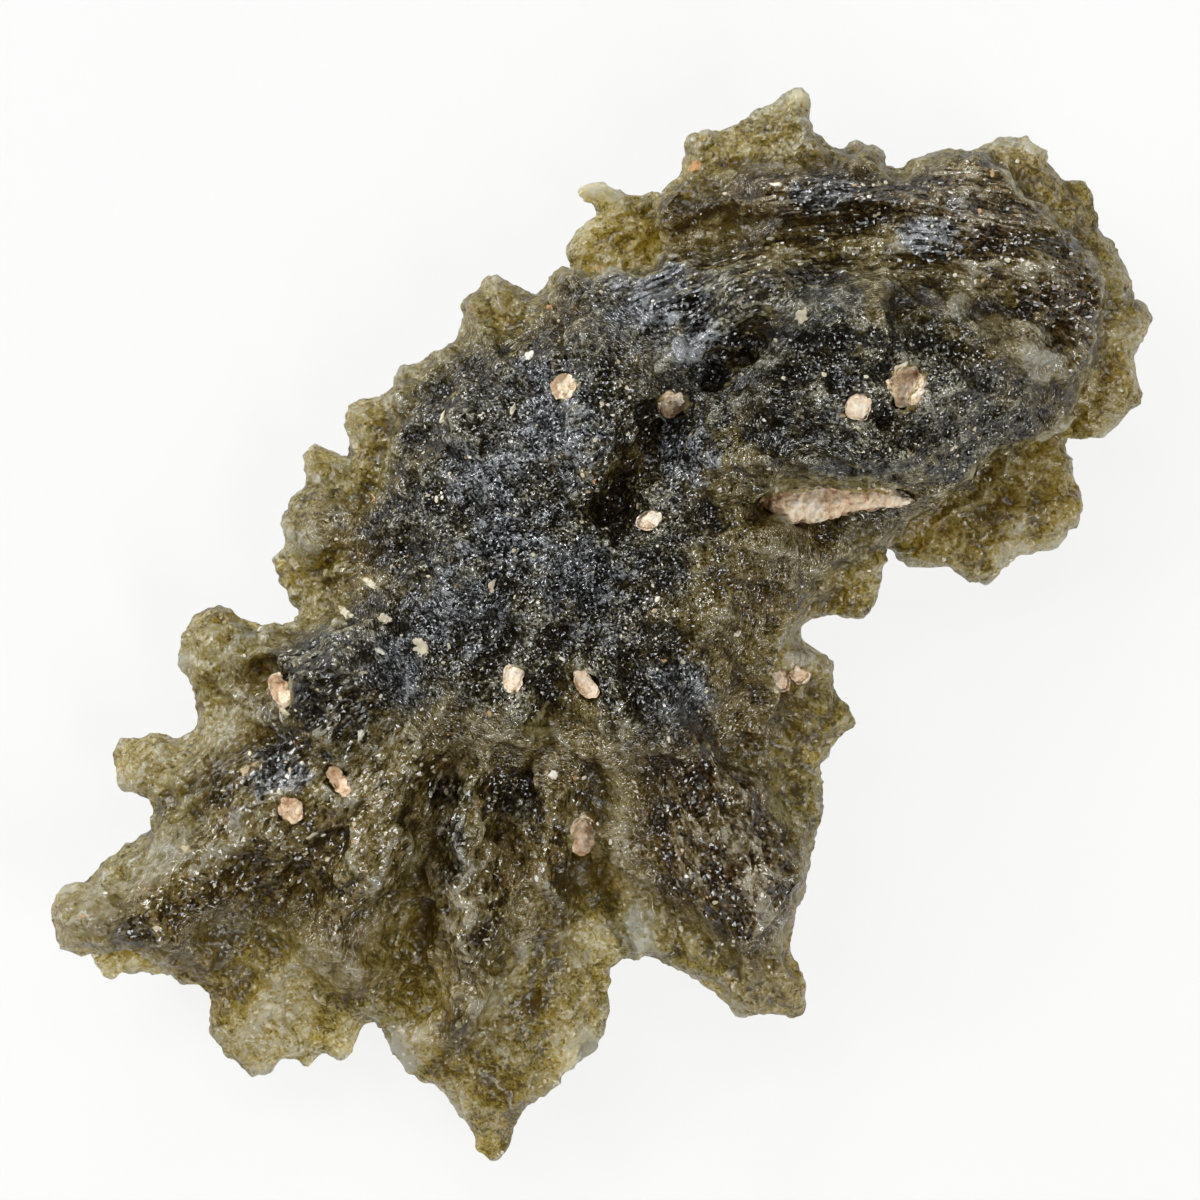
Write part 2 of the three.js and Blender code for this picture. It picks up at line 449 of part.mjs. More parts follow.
// [underside, upper face] of a leaf at a place, whose faces are there at heights under and top.
function faces(x, y, distance, top, under, reliefShare) {
  let upper = top + reliefShare * upperRelief(x, y);
  let lower = under + reliefShare * underRelief(x, y) - feetHeight(x, y);
  const middle = top * RIM_LEVEL + under * (1 - RIM_LEVEL);
  upper = Math.max(upper, middle + LEAST_THICKNESS / 2);
  lower = Math.min(lower, middle - LEAST_THICKNESS / 2);
  const raised = RIM_WALL + (upper - middle - RIM_WALL) * shoulder(distance, TOP_SHOULDER);
  const sunk = RIM_WALL + (middle - lower - RIM_WALL) * shoulder(distance, UNDER_SHOULDER);
  return [Math.max(middle - sunk, 0), middle + raised];
}

// ---------------------------------------------------------------- a leaf: one closed solid

const FAR = 400; // millimetres: corners of a first triangle, well outside every outline

// Delaunay triangles of points in the plane, by adding one point at a time.
function triangulate(points) {
  const all = [...points, [-FAR, -FAR], [FAR, -FAR], [0, FAR]];
  const n = points.length;
  const circle = (a, b, c) => {
    const [ax, ay] = all[a];
    const [bx, by] = all[b];
    const [cx, cy] = all[c];
    const d = 2 * (ax * (by - cy) + bx * (cy - ay) + cx * (ay - by));
    const a2 = ax * ax + ay * ay;
    const b2 = bx * bx + by * by;
    const c2 = cx * cx + cy * cy;
    const x = (a2 * (by - cy) + b2 * (cy - ay) + c2 * (ay - by)) / d;
    const y = (a2 * (cx - bx) + b2 * (ax - cx) + c2 * (bx - ax)) / d;
    return { corners: [a, b, c], x, y, r2: (ax - x) ** 2 + (ay - y) ** 2 };
  };
  let open = [circle(n, n + 1, n + 2)];
  const done = [];
  const order = points.map((_, i) => i).sort((i, j) => points[i][0] - points[j][0]);
  for (const i of order) {
    const [x, y] = points[i];
    const edges = new Map();
    const kept = [];
    for (const t of open) {
      if (x > t.x && (x - t.x) ** 2 > t.r2) done.push(t);
      else if ((x - t.x) ** 2 + (y - t.y) ** 2 > t.r2) kept.push(t);
      else
        for (let k = 0; k < 3; k++) {
          const a = t.corners[k];
          const b = t.corners[(k + 1) % 3];
          if (edges.has(`${b},${a}`)) edges.delete(`${b},${a}`);
          else edges.set(`${a},${b}`, [a, b]);
        }
    }
    open = kept;
    for (const [a, b] of edges.values()) open.push(circle(a, b, i));
  }
  return [...done, ...open].map((t) => t.corners).filter((c) => c.every((v) => v < n));
}

const RIM_ROW_CLEAR = 0.8; // of its inset, which a point of the inner row keeps to the outline
const RIM_ROW_GAP = 0.3; // millimetres between points of the inner row
const JITTER = 0.3; // of the spacing, by which scattered points are moved about
const SCATTER_GAP = 0.55; // of the spacing, between the inner row and the scatter

// Points over the inside of a ring: the ring, a row just inside it, and an even scatter.
function plannedPoints(ring) {
  const points = ring.map((p) => [...p]);
  ring.forEach(([x, y], i) => {
    const [px, py] = ring[(i + ring.length - 1) % ring.length];
    const [nx, ny] = ring[(i + 1) % ring.length];
    const length = Math.hypot(nx - px, ny - py);
    for (const side of [1, -1]) {
      const ix = x - (side * RIM_INSET * (ny - py)) / length;
      const iy = y + (side * RIM_INSET * (nx - px)) / length;
      const clear = distanceToLine(ix, iy, ring, true) > RIM_ROW_CLEAR * RIM_INSET;
      const row = points.slice(ring.length);
      const free = row.every(([qx, qy]) => Math.hypot(ix - qx, iy - qy) > RIM_ROW_GAP);
      if (clear && free && inside(ix, iy, ring)) points.push([ix, iy]);
    }
  });
  const rowStep = POINT_SPACING * Math.sqrt(0.75);
  const gap = RIM_INSET + SCATTER_GAP * POINT_SPACING;
  for (let row = 0, y = -PLAN_REACH; y < PLAN_REACH; row++, y += rowStep)
    for (let x = (row % 2) * (POINT_SPACING / 2) - PLAN_REACH; x < PLAN_REACH; x += POINT_SPACING) {
      const jx = x + (chance(row * 91 + x * 17) - 0.5) * JITTER * POINT_SPACING;
      const jy = y + (chance(row * 37 + x * 53 + 5) - 0.5) * JITTER * POINT_SPACING;
      if (inside(jx, jy, ring) && distanceToLine(jx, jy, ring, true) > gap) points.push([jx, jy]);
    }
  return points;
}

// A leaf of glass over an outline: heights(x, y, distance to the edge) gives its two faces.
function leaf(outline, heights) {
  const ring = sampledRing(outline);
  const points = plannedPoints(ring);
  const triangles = triangulate(points).filter(([a, b, c]) => {
    const x = (points[a][0] + points[b][0] + points[c][0]) / 3;
    const y = (points[a][1] + points[b][1] + points[c][1]) / 3;
    return inside(x, y, ring);
  });
  const n = points.length;
  const position = new Float32Array(n * 6);
  points.forEach(([x, y], i) => {
    const [low, high] = heights(x, y, i < ring.length ? 0 : distanceToLine(x, y, ring, true));
    position.set([x, y, high], i * 3);
    position.set([x, y, low], (i + n) * 3);
  });
  const index = [];
  const edges = new Map();
  for (const [a, b, c] of triangles) {
    const area = (points[b][0] - points[a][0]) * (points[c][1] - points[a][1])
      - (points[c][0] - points[a][0]) * (points[b][1] - points[a][1]);
    const [p, q, r] = area > 0 ? [a, b, c] : [a, c, b];
    index.push(p, q, r, p + n, r + n, q + n);
    for (const [s, t] of [[p, q], [q, r], [r, p]])
      if (!edges.delete(`${t},${s}`)) edges.set(`${s},${t}`, [s, t]);
  }
  for (const [s, t] of edges.values()) index.push(s, s + n, t, t, s + n, t + n);
  const geometry = new THREE.BufferGeometry();
  geometry.setAttribute("position", new THREE.BufferAttribute(position, 3));
  geometry.setIndex(index);
  return geometry;
}

// ---------------------------------------------------------------- joining and cutting

function solidFrom(geometry) {
  const bare = geometry.clone();
  bare.deleteAttribute("normal");
  bare.deleteAttribute("uv");
  const merged = mergeVertices(bare, 1e-4);
  return new wasm.Manifold(
    new wasm.Mesh({
      numProp: 3,
      vertProperties: new Float32Array(merged.attributes.position.array),
      triVerts: new Uint32Array(merged.index.array),
    }),
  );
}

function geometryFrom(solid) {
  const mesh = solid.getMesh();
  const geometry = new THREE.BufferGeometry();
  geometry.setAttribute("position", new THREE.BufferAttribute(mesh.vertProperties, 3));
  geometry.setIndex(new THREE.BufferAttribute(mesh.triVerts, 1));
  geometry.computeVertexNormals();
  return geometry;
}

// ---------------------------------------------------------------- the glass

const LEDGE_RELIEF = 0.45; // of the main mass's relief, on the thin ledges

function glassSolid() {
  const body = leaf(BODY_OUTLINE, (x, y, distance) => {
    const [top, under] = spotHeights(x, y);
    return faces(x, y, distance, top, under, 1);
  });
  let glass = solidFrom(body);
  for (const { top, under, outline } of Object.values(LEDGES)) {
    const ledge = leaf(outline, (x, y, distance) => faces(x, y, distance, top, under, LEDGE_RELIEF));
    glass = glass.add(solidFrom(ledge));
  }
  return glass;
}

// ---------------------------------------------------------------- the clay

// A lump with a rough skin: a ball stretched to the given half-sizes, grown by extra.
function lump([x, y, length, width, turn], z, extra, layer) {
  const ball = new THREE.IcosahedronGeometry(1, 1);
  const p = ball.attributes.position;
  for (let i = 0; i < p.count; i++) {
    const [ux, uy, uz] = [p.getX(i), p.getY(i), p.getZ(i)];
    const grain = noise.noise(ux * CLAY_GRAIN + layer, uy * CLAY_GRAIN, uz * CLAY_GRAIN);
    const rough = 1 + CLAY_ROUGHNESS * grain;
    p.setXYZ(i, ux * (length * rough + extra), uy * (width * rough + extra),
      uz * (PLUG_DEPTH * rough + extra));
  }
  ball.rotateZ(THREE.MathUtils.degToRad(turn));
  ball.translate(x, y, z);
  return ball;
}

// The seam: rings of oval section along its line, closed by a point at each end.
function seam(z, extra) {
  const { line, halfWidths, halfHeight, sides, steps } = CLAY_SEAM;
  const path = new THREE.CatmullRomCurve3(line.map(([x, y]) => new THREE.Vector3(x, y, z)));
  const position = [];
  const index = [];
  for (let i = 1; i < steps; i++) {
    const t = i / steps;
    const centre = path.getPoint(t);
    const along = t * (halfWidths.length - 1);
    const k = Math.min(Math.floor(along), halfWidths.length - 2);
    const width = THREE.MathUtils.lerp(halfWidths[k], halfWidths[k + 1], along - k);
    const taper = Math.sqrt(1 - (2 * t - 1) ** 8);
    for (let j = 0; j < sides; j++) {
      const a = (j / sides) * 2 * Math.PI;
      const grain = noise.noise(centre.x * CLAY_GRAIN, Math.cos(a) * CLAY_GRAIN, Math.sin(a) * CLAY_GRAIN);
      const rough = 1 + CLAY_ROUGHNESS * grain;
      position.push(centre.x, centre.y + Math.cos(a) * (width * taper * rough + extra),
        centre.z + Math.sin(a) * (halfHeight * taper * rough + extra));
    }
  }
  const rings = steps - 1;
  const first = rings * sides;
  const start = path.getPoint(0);
  const end = path.getPoint(1);
  position.push(start.x - extra, start.y, start.z, end.x + extra, end.y, end.z);
  for (let j = 0; j < sides; j++) {
    const k = (j + 1) % sides;
    for (let i = 0; i + 1 < rings; i++) {
      const [a, b, c, d] = [i * sides + j, i * sides + k, (i + 1) * sides + j, (i + 1) * sides + k];
      index.push(a, b, c, b, d, c);
    }
    index.push(first, k, j, first + 1, (rings - 1) * sides + j, (rings - 1) * sides + k);
  }
  const geometry = new THREE.BufferGeometry();
  geometry.setAttribute("position", new THREE.BufferAttribute(new Float32Array(position), 3));
  geometry.setIndex(index);
  return geometry;
}

// ---------------------------------------------------------------- the part

const glassMaterial = new THREE.MeshStandardMaterial({
  name: "olive glass", color: 0x5d5a2a, roughness: 0.35, metalness: 0,
});
const clayMaterial = new THREE.MeshStandardMaterial({
  name: "pink clay", color: 0xc9a184, roughness: 0.95, metalness: 0,
});

const plan = new THREE.Group();
plan.rotation.z = THREE.MathUtils.degToRad(-LONG_AXIS_ON_PLAN);
plan.position.copy(
  new THREE.Vector3(-ORIGIN_ON_PLAN[0], -ORIGIN_ON_PLAN[1], 0).applyEuler(plan.rotation),
);

function addMesh(name, geometry, material) {
  const mesh = new THREE.Mesh(geometry, material);
  mesh.name = name;
  plan.add(mesh);
}

// Height of the main mass's upper face inside the shoulders.
function upperFaceAt(x, y) {
  return spotHeights(x, y)[0] + upperRelief(x, y);
}

let glass = glassSolid();
const clay = new Map();
const seamHeight = upperFaceAt(6.6, 2.95) + CLAY_SEAM.rise;
clay.set("clay_seam", seam(seamHeight, 0));
glass = glass.subtract(solidFrom(seam(seamHeight, CLAY_CLEARANCE)));
Object.entries(CLAY_PLUGS).forEach(([place, plug], i) => {
  const z = upperFaceAt(plug[0], plug[1]) - PLUG_SINK;
  clay.set(`clay_plug_${place}`, lump(plug, z, 0, i * 3.1));
  glass = glass.subtract(solidFrom(lump(plug, z, CLAY_CLEARANCE, i * 3.1)));
});

addMesh("moldavite", geometryFrom(glass), glassMaterial);
for (const [name, geometry] of clay) addMesh(name, geometry, clayMaterial);

const moldavite = new THREE.Group();
moldavite.name = "moldavite_specimen";
moldavite.add(plan);

export default moldavite;
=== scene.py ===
# %% [markdown]
# # A raw moldavite
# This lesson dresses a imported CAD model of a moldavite, a natural green glass, so that it looks
# real. The CAD model holds the stone's true size and main forms as a few thousand flat facets. On
# the real stone every one of those forms is etched: grooves that follow the flow of the glass,
# cups inside cups, and a fine frost over everything. Here that skin is grown on a copy of the CAD
# solid, and the glass gets its colour from the depth of glass that the light has to cross.

# %% Load the frame
import math

import bmesh
import bpy
from mathutils import Matrix, Vector, noise
from mathutils.bvhtree import BVHTree


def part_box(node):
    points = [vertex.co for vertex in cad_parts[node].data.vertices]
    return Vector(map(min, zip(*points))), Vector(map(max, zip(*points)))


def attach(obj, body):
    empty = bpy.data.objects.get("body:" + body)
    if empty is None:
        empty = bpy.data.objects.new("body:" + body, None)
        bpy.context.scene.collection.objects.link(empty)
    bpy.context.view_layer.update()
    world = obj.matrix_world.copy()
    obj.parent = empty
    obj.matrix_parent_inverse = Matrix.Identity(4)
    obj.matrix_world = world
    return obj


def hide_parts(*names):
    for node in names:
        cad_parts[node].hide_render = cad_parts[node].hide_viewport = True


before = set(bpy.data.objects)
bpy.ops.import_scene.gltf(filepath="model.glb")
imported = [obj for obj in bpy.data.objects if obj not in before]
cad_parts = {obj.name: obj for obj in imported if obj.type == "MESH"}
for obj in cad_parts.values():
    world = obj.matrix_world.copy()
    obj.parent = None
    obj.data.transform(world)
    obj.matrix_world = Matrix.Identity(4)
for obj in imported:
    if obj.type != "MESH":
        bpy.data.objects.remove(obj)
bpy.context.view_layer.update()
MM = 0.001  # everything in Blender is in metres
print("CAD nodes:", len(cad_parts))

# %% [markdown]
# ## The plan
# Places on the stone are easiest to give on its plan: millimetres, seen from above, as the camera
# sees it. The CAD model lies turned by 46 degrees from that plan, so that its length runs along X.
# A small helper goes from the plan to the model.

# %% From plan to model
PLAN_TURN = math.radians(46)
ORIGIN_ON_PLAN = Vector((1.36, -1.05, 0))


def on_model(x, y, z=0.0):
    """The model's point, in metres, for a plan point in millimetres."""
    turned = Matrix.Rotation(-PLAN_TURN, 3, "Z") @ (Vector((x, y, z)) - ORIGIN_ON_PLAN)
    return turned * MM


print("middle of the plan on the model, mm:", [round(c / MM, 2) for c in on_model(0, 0)])

# %% [markdown]
# ## Helpers for node trees
# Geometry and shader trees are built in the same way: add a node, set its settings, and give each
# input either a number or another node's output. A few short helpers do that for the nodes that
# come back again and again, so that a tree reads like a sum.

# %% Node helpers


def add_node(tree, kind, settings=None, inputs=None):
    """Adds a node, with its own settings and its inputs' values or links."""
    made = tree.nodes.new(kind)
    for name, value in (settings or {}).items():
        setattr(made, name, value)
    for key, value in (inputs or {}).items():
        if isinstance(value, bpy.types.NodeSocket):
            tree.links.new(value, made.inputs[key])
        else:
            made.inputs[key].default_value = value
    return made


def maths(tree, operation, *values):
    """One Math node on one to three numbers or sockets."""
    settings = {"operation": operation}
    return add_node(tree, "ShaderNodeMath", settings, dict(enumerate(values))).outputs[0]


def vector_maths(tree, operation, *values):
    """One Vector Math node on vectors or sockets."""
    settings = {"operation": operation}
    return add_node(tree, "ShaderNodeVectorMath", settings, dict(enumerate(values))).outputs[0]


def scaled(tree, vector, factor):
    """A vector times a number."""
    settings = {"operation": "SCALE"}
    return add_node(tree, "ShaderNodeVectorMath", settings, {0: vector, "Scale": factor}).outputs[0]


def length_of(tree, vector):
    """A vector's length."""
    settings = {"operation": "LENGTH"}
    return add_node(tree, "ShaderNodeVectorMath", settings, {0: vector}).outputs["Value"]


MIDDLE = 0.5  # the average of a noise texture


def noise_at(tree, vector, scale, detail=2.0, roughness=0.5):
    """A noise texture's value, 0 to 1 and about 0.5 on average."""
    inputs = {"Vector": vector, "Scale": scale, "Detail": detail, "Roughness": roughness}
    return add_node(tree, "ShaderNodeTexNoise", None, inputs).outputs[0]


def cups_at(tree, vector, scale):
    """Round cups that meet in sharp ridges: 0 in a cup's middle, growing to its rim."""
    inputs = {"Vector": vector, "Scale": scale}
    distance = add_node(tree, "ShaderNodeTexVoronoi", None, inputs).outputs["Distance"]
    return maths(tree, "MULTIPLY", distance, distance)


def remap(tree, value, low, high, new_low=0.0, new_high=1.0):
    """A value from low..high moved to new_low..new_high, with soft ends."""
    settings = {"interpolation_type": "SMOOTHSTEP"}
    inputs = {0: value, 1: low, 2: high, 3: new_low, 4: new_high}
    return add_node(tree, "ShaderNodeMapRange", settings, inputs).outputs[0]


def blend(tree, share, first, second, kind="FLOAT"):
    """first where share is 0, second where it is 1."""
    sockets = {"FLOAT": (2, 3, 0), "VECTOR": (4, 5, 1), "RGBA": (6, 7, 2)}[kind]
    inputs = {0: share, sockets[0]: first, sockets[1]: second}
    return add_node(tree, "ShaderNodeMix", {"data_type": kind}, inputs).outputs[sockets[2]]


# %% [markdown]
# ## The flow of the glass
# The etching follows two sets of flow lines. One fans out from the middle of the stone to the
# pointed lobes; the other runs round the thick head. A noise whose coordinates are the angle and
# the distance from a centre is drawn out along those lines, so it reads as grooves.

# %% Flow coordinates
FAN_POLE = (-0.8, 2.2)  # the fan's flow lines come from here
HEAD_CENTRE = (8.6, 4.4)  # the head's flow lines run round this place
HEAD_FLATTENING = 0.6  # the height of their rings on the plan, as a share of their width
HEIGHT_SHARE = 0.25  # how fast a flow pattern changes with height
HEAD_SLANT = 0.6  # how far the border between the two flows leans
HEAD_STARTS = (6.5, 9.5)  # where the fan's flow gives way to the head's
GROOVE_NOISE = (1.0, 3.0, 0.6)  # scale, detail and roughness, as for the noises below
print("the fan's pole on the model, mm:", [round(c / MM, 2) for c in on_model(*FAN_POLE)])


def plan_position(tree, position):
    """A position in metres, as plan millimetres."""
    inputs = {"Vector": scaled(tree, position, 1 / MM), "Angle": PLAN_TURN}
    turned = add_node(tree, "ShaderNodeVectorRotate", {"rotation_type": "Z_AXIS"}, inputs)
    return vector_maths(tree, "ADD", turned.outputs[0], tuple(ORIGIN_ON_PLAN))


def off_centre(tree, plan, centre):
    """A position's distance from a centre of the plan, whatever its height."""
    offset = vector_maths(tree, "SUBTRACT", plan, (*centre, 0))
    return length_of(tree, vector_maths(tree, "MULTIPLY", offset, (1, 1, 0)))


def polar(tree, plan, centre, flatten_x, across, along, seam_up):
    """(angle times across, distance times along, height) round a centre of the plan."""
    split = add_node(tree, "ShaderNodeSeparateXYZ", None, {0: plan})
    dx = maths(tree, "MULTIPLY", maths(tree, "SUBTRACT", split.outputs[0], centre[0]), flatten_x)
    dy = maths(tree, "SUBTRACT", split.outputs[1], centre[1])
    side = -1.0 if seam_up else 1.0
    angle = maths(tree, "ARCTAN2", dx, maths(tree, "MULTIPLY", dy, side))
    squares = maths(tree, "ADD", maths(tree, "MULTIPLY", dx, dx), maths(tree, "MULTIPLY", dy, dy))
    radius = maths(tree, "SQRT", squares)
    inputs = {
        0: maths(tree, "MULTIPLY", angle, across),
        1: maths(tree, "MULTIPLY", radius, along),
        2: maths(tree, "MULTIPLY", split.outputs[2], HEIGHT_SHARE),
    }
    return add_node(tree, "ShaderNodeCombineXYZ", None, inputs).outputs[0]


def head_share(tree, plan):
    """1 on the head of the stone, 0 on its fanned end."""
    split = add_node(tree, "ShaderNodeSeparateXYZ", None, {0: plan})
    along = maths(tree, "MULTIPLY_ADD", split.outputs[0], HEAD_SLANT, split.outputs[1])
    return remap(tree, along, *HEAD_STARTS)


def flow_coordinates(tree, plan, fan_across, fan_along, head_across, head_along):
    """Coordinates that run across and along the flow."""
    fan = polar(tree, plan, FAN_POLE, 1.0, fan_across, fan_along, True)
    head = polar(tree, plan, HEAD_CENTRE, HEAD_FLATTENING, head_along, head_across, False)
    return fan, head


def flow_grooves(tree, plan, fan_across, fan_along, head_across, head_along):
    """Grooves drawn out along the flow, about 0 to 1."""
    fan, head = flow_coordinates(tree, plan, fan_across, fan_along, head_across, head_along)
    heights = [noise_at(tree, lines, *GROOVE_NOISE) for lines in (fan, head)]
    return blend(tree, head_share(tree, plan), *heights)


# %% [markdown]
# ## The stone's body
# The CAD solid's facets are about 0.7 mm across, far coarser than the etching. A voxel remesh
# lays an even net of small squares over it, and a light smoothing takes the facets' edges away
# without moving the lobes and crests. Subdividing the facets would leave large and small ones side
# by side instead, and the etching would come out uneven. The underside, which is seen least, gets
# a coarser net.

# %% A fine, even skin
SKIN_STEP = 0.125 * MM
WELD = 0.001 * MM
SMOOTH_ROUNDS = 4
SMOOTH_STRENGTH = 0.5
UNDERSIDE = -0.25  # a point whose normal leans further down than this is on the underside
KEPT_TRIANGLES = 0.64  # of all, once the underside's net is made coarser


def plain_mesh(obj, name):
    """The object as its modifiers leave it, as a new object with a plain mesh at the origin."""
    bpy.context.view_layer.update()
    shape = obj.evaluated_get(bpy.context.evaluated_depsgraph_get())
    mesh = bpy.data.meshes.new_from_object(shape)
    made = bpy.data.objects.new(name, mesh)
    bpy.context.scene.collection.objects.link(made)
    return made


def working_copy(node_name, name):
    """A copy of a CAD node to work on, with its loose triangles joined."""
    obj = bpy.data.objects.new(name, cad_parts[node_name].data.copy())
    bpy.context.scene.collection.objects.link(obj)
    weld = obj.modifiers.new("weld", "WELD")
    weld.merge_threshold = WELD
    return obj


rough_stone = working_copy("moldavite", "rough_stone")
remesh = rough_stone.modifiers.new("even net", "REMESH")
remesh.mode = "VOXEL"
remesh.voxel_size = SKIN_STEP
soften = rough_stone.modifiers.new("soften facets", "SMOOTH")
soften.factor = SMOOTH_STRENGTH
soften.iterations = SMOOTH_ROUNDS
fine_stone = plain_mesh(rough_stone, "fine_stone")
bpy.data.objects.remove(rough_stone)
print("points in the even skin:", len(fine_stone.data.vertices))

underside = fine_stone.vertex_groups.new(name="underside")
facing_down = [v.index for v in fine_stone.data.vertices if v.normal.z < UNDERSIDE]
underside.add(facing_down, 1.0, "REPLACE")
thin_out = fine_stone.modifiers.new("coarser underside", "DECIMATE")
thin_out.ratio = KEPT_TRIANGLES
thin_out.vertex_group = underside.name
even_stone = plain_mesh(fine_stone, "even_stone")
bpy.data.objects.remove(fine_stone)
print("points once the underside is coarser:", len(even_stone.data.vertices))

# %% [markdown]
# ## What differs from place to place
# An etched stone isn't the same all over. Where the glass is thick it looks black and glitters.
# Some patches are frosted, with a painted bluish sheen, worn spots and rims are pale, the glassy
# tips get painted highlights, and parts of the head and of the fan are browner than the rest. No
# rule gives those places, so lists do: x, y and radius in millimetres on the plan. A noise makes
# their edges ragged, so that no circle shows.

# %% Places on the stone
# Frosted patches: a real frost, with a painted bluish sheen in their colour.
FROSTED_SHEEN = [
    (1.6, 8.9, 1.7),
    (2.9, 7.5, 1.3),
    (2.4, 4.5, 1.3),
    (-1.3, 4.9, 1.8),
    (-2.0, 6.7, 1.0),
    (-3.5, 3.5, 1.5),
    (-2.7, 1.8, 1.6),
    (-0.5, 0.5, 1.6),
    (-4.2, -0.2, 1.8),
    (-6.0, -2.0, 1.2),
    (2.4, -2.7, 1.2),
    (6.7, 12.0, 1.1),
    (9.6, 10.7, 1.0),
    (-9.6, -5.0, 1.2),
]
DARK = [
    (1.0, 8.6, 1.9),
    (3.6, 8.6, 1.8),
    (-3.4, 4.9, 2.8),
    (-0.5, 6.0, 2.6),
    (2.4, 5.6, 2.2),
    (-2.0, 2.0, 3.2),
    (-4.9, 2.0, 2.4),
    (0.9, 2.0, 2.6),
    (-2.7, -1.3, 2.6),
    (-6.0, -1.6, 2.2),
    (0.2, -0.9, 2.2),
    (-8.2, -2.4, 2.2),
    (1.6, -2.6, 1.8),
    (-2.5, -5.9, 0.8),
    (-4.5, -5.6, 0.7),
    (-4.4, -6.9, 0.6),
    (-4.3, -8.1, 0.5),
    (6.0, 6.4, 2.8),
    (8.9, 6.4, 2.6),
    (7.5, 4.2, 2.0),
    (11.3, 5.0, 2.0),
    (6.4, 8.6, 1.6),
]
# Pale places: worn spots, and painted highlights on the glassy tips of the lobes.
PALE_WEAR_AND_HIGHLIGHTS = [
    (13.0, 7.0, 0.7),
    (10.6, 8.6, 0.5),
    (6.4, 6.2, 0.4),
    (-3.7, -12.2, 0.5),
    (-2.4, -10.6, 0.5),
    (-5.6, -13.4, 0.9),
    (-4.4, -15.0, 0.9),
    (-0.8, -13.4, 1.0),
    (-0.4, -10.2, 1.0),
    (1.4, -9.8, 0.9),
    (5.9, -1.4, 0.9),
    (-10.4, -12.6, 0.9),
    (-16.0, -8.2, 0.7),
    (0.0, 12.3, 0.9),
    (12.3, 1.4, 0.8),
    (15.6, 8.0, 0.7),
]
BROWN = [
    (3.5, -7.5, 3.0),
    (5.3, -9.6, 2.0),
    (2.4, -5.0, 2.0),
    (4.9, -4.9, 1.8),
    (-8.9, 0.5, 1.2),
    (4.5, 12.6, 2.4),
    (8.6, 12.2, 2.0),
    (11.3, 11.3, 2.4),
    (13.8, 8.8, 2.0),
]

# Each finish has its places, a noise's scale per millimetre, how ragged the noise makes it, the
# shares at which it starts and is full, and how strong it gets.
FINISHES = {
    "frosted": (FROSTED_SHEEN, 1.6, 3.0, 0.1, 0.6, 0.9),
    "dark": (DARK, 1.3, 2.2, -0.25, 0.45, 0.9),
    "pale": (PALE_WEAR_AND_HIGHLIGHTS, 1.8, 1.6, 0.0, 0.5, 1.0),
    "brown": (BROWN, 0.7, 1.2, 0.0, 0.5, 1.0),
}
EDGE_DETAIL = (4.0, 0.6)  # detail and roughness of that noise
WORN_PITS = [(-1.85, -3.8, 1.5)]  # x, y and radius
WORN_PIT_FILL = 0.9  # millimetres that such a pit is made shallower
for finish, (places, *_) in FINISHES.items():
    print(finish, "places:", len(places))

# %% A place's share


def near_places(tree, plan, places):
    """1 in the middle of a place, falling to 0 at its radius."""
    nearest = None
    for x, y, radius in places:
        distance = off_centre(tree, plan, (x, y))
        share = maths(tree, "MULTIPLY_ADD", distance, -1 / radius, 1.0)
        nearest = share if nearest is None else maths(tree, "MAXIMUM", nearest, share)
    return nearest


def finish_share(tree, plan, finish):
    """How much of a finish a position has, in ragged patches round the finish's places."""
    places, scale, raggedness, starts, full, most = FINISHES[finish]
    ragged = maths(tree, "SUBTRACT", noise_at(tree, plan, scale, *EDGE_DETAIL), MIDDLE)
    share = maths(tree, "MULTIPLY_ADD", ragged, raggedness, near_places(tree, plan, places))
    return remap(tree, share, starts, full, 0.0, most)


# %% [markdown]
# ## The etched relief
# A Geometry Nodes tree moves each point of the skin along its normal. Five reliefs are added: cups
# of two sizes, grooves along the flow, a rough noise and a fine grain. Sculpting could do it too,
# but here every size stays a number that can be changed. The floor of the stone stays at z = 0, so
# that it rests where the CAD model rests.

# %% Sizes of the relief
RELIEF_SIZES = {
    "Large cup": 1.3,  # millimetres across
    "Large cup depth": 0.34,
    "Small cup": 0.6,
    "Small cup depth": 0.22,
    "Groove depth": 0.42,
    "Rough depth": 0.30,
    "Grain": 0.26,
    "Grain depth": 0.16,
}
# Four numbers say how close a flow pattern's lines lie: across and along the fan's flow, then
# across and along the head's.
RELIEF_GROOVES = (14.0, 0.35, 2.2, 2.4)
GROOVES_FADE = (2.0, 7.0, 0.25, 1.0)  # weaker within 7 mm of the pole, where they would crowd
GROOVE_MIDDLE = 0.55  # what counts as neither up nor down
CUP_MIDDLE = 0.25
ROUGH_NOISE = (1.6, 3.0, 0.6)
GRAIN_DETAIL = (1.0, 0.5)
SWAY_NOISE = {"Scale": 0.7, "Detail": 2.0}
SWAY = 1.2  # millimetres that this slow noise shifts the cups by
for label, size in RELIEF_SIZES.items():
    print(label, "mm:", size)

# %% How a tree starts and ends


def group_tree(name, sizes):
    """An empty Geometry Nodes tree with one named number input for each size."""
    tree = bpy.data.node_groups.new(name, "GeometryNodeTree")
    tree.interface.new_socket("Geometry", in_out="INPUT", socket_type="NodeSocketGeometry")
    for label, size in sizes.items():
        socket = tree.interface.new_socket(label, in_out="INPUT", socket_type="NodeSocketFloat")
        socket.default_value = size
    tree.interface.new_socket("Geometry", in_out="OUTPUT", socket_type="NodeSocketGeometry")
    return tree


def stored(tree, geometry, name, value, data_type="FLOAT"):
    """The geometry with a value kept on its points under a name."""
    inputs = {"Geometry": geometry, "Name": name, "Value": value}
    kept = add_node(tree, "GeometryNodeStoreNamedAttribute", {"data_type": data_type}, inputs)
    return kept.outputs[0]


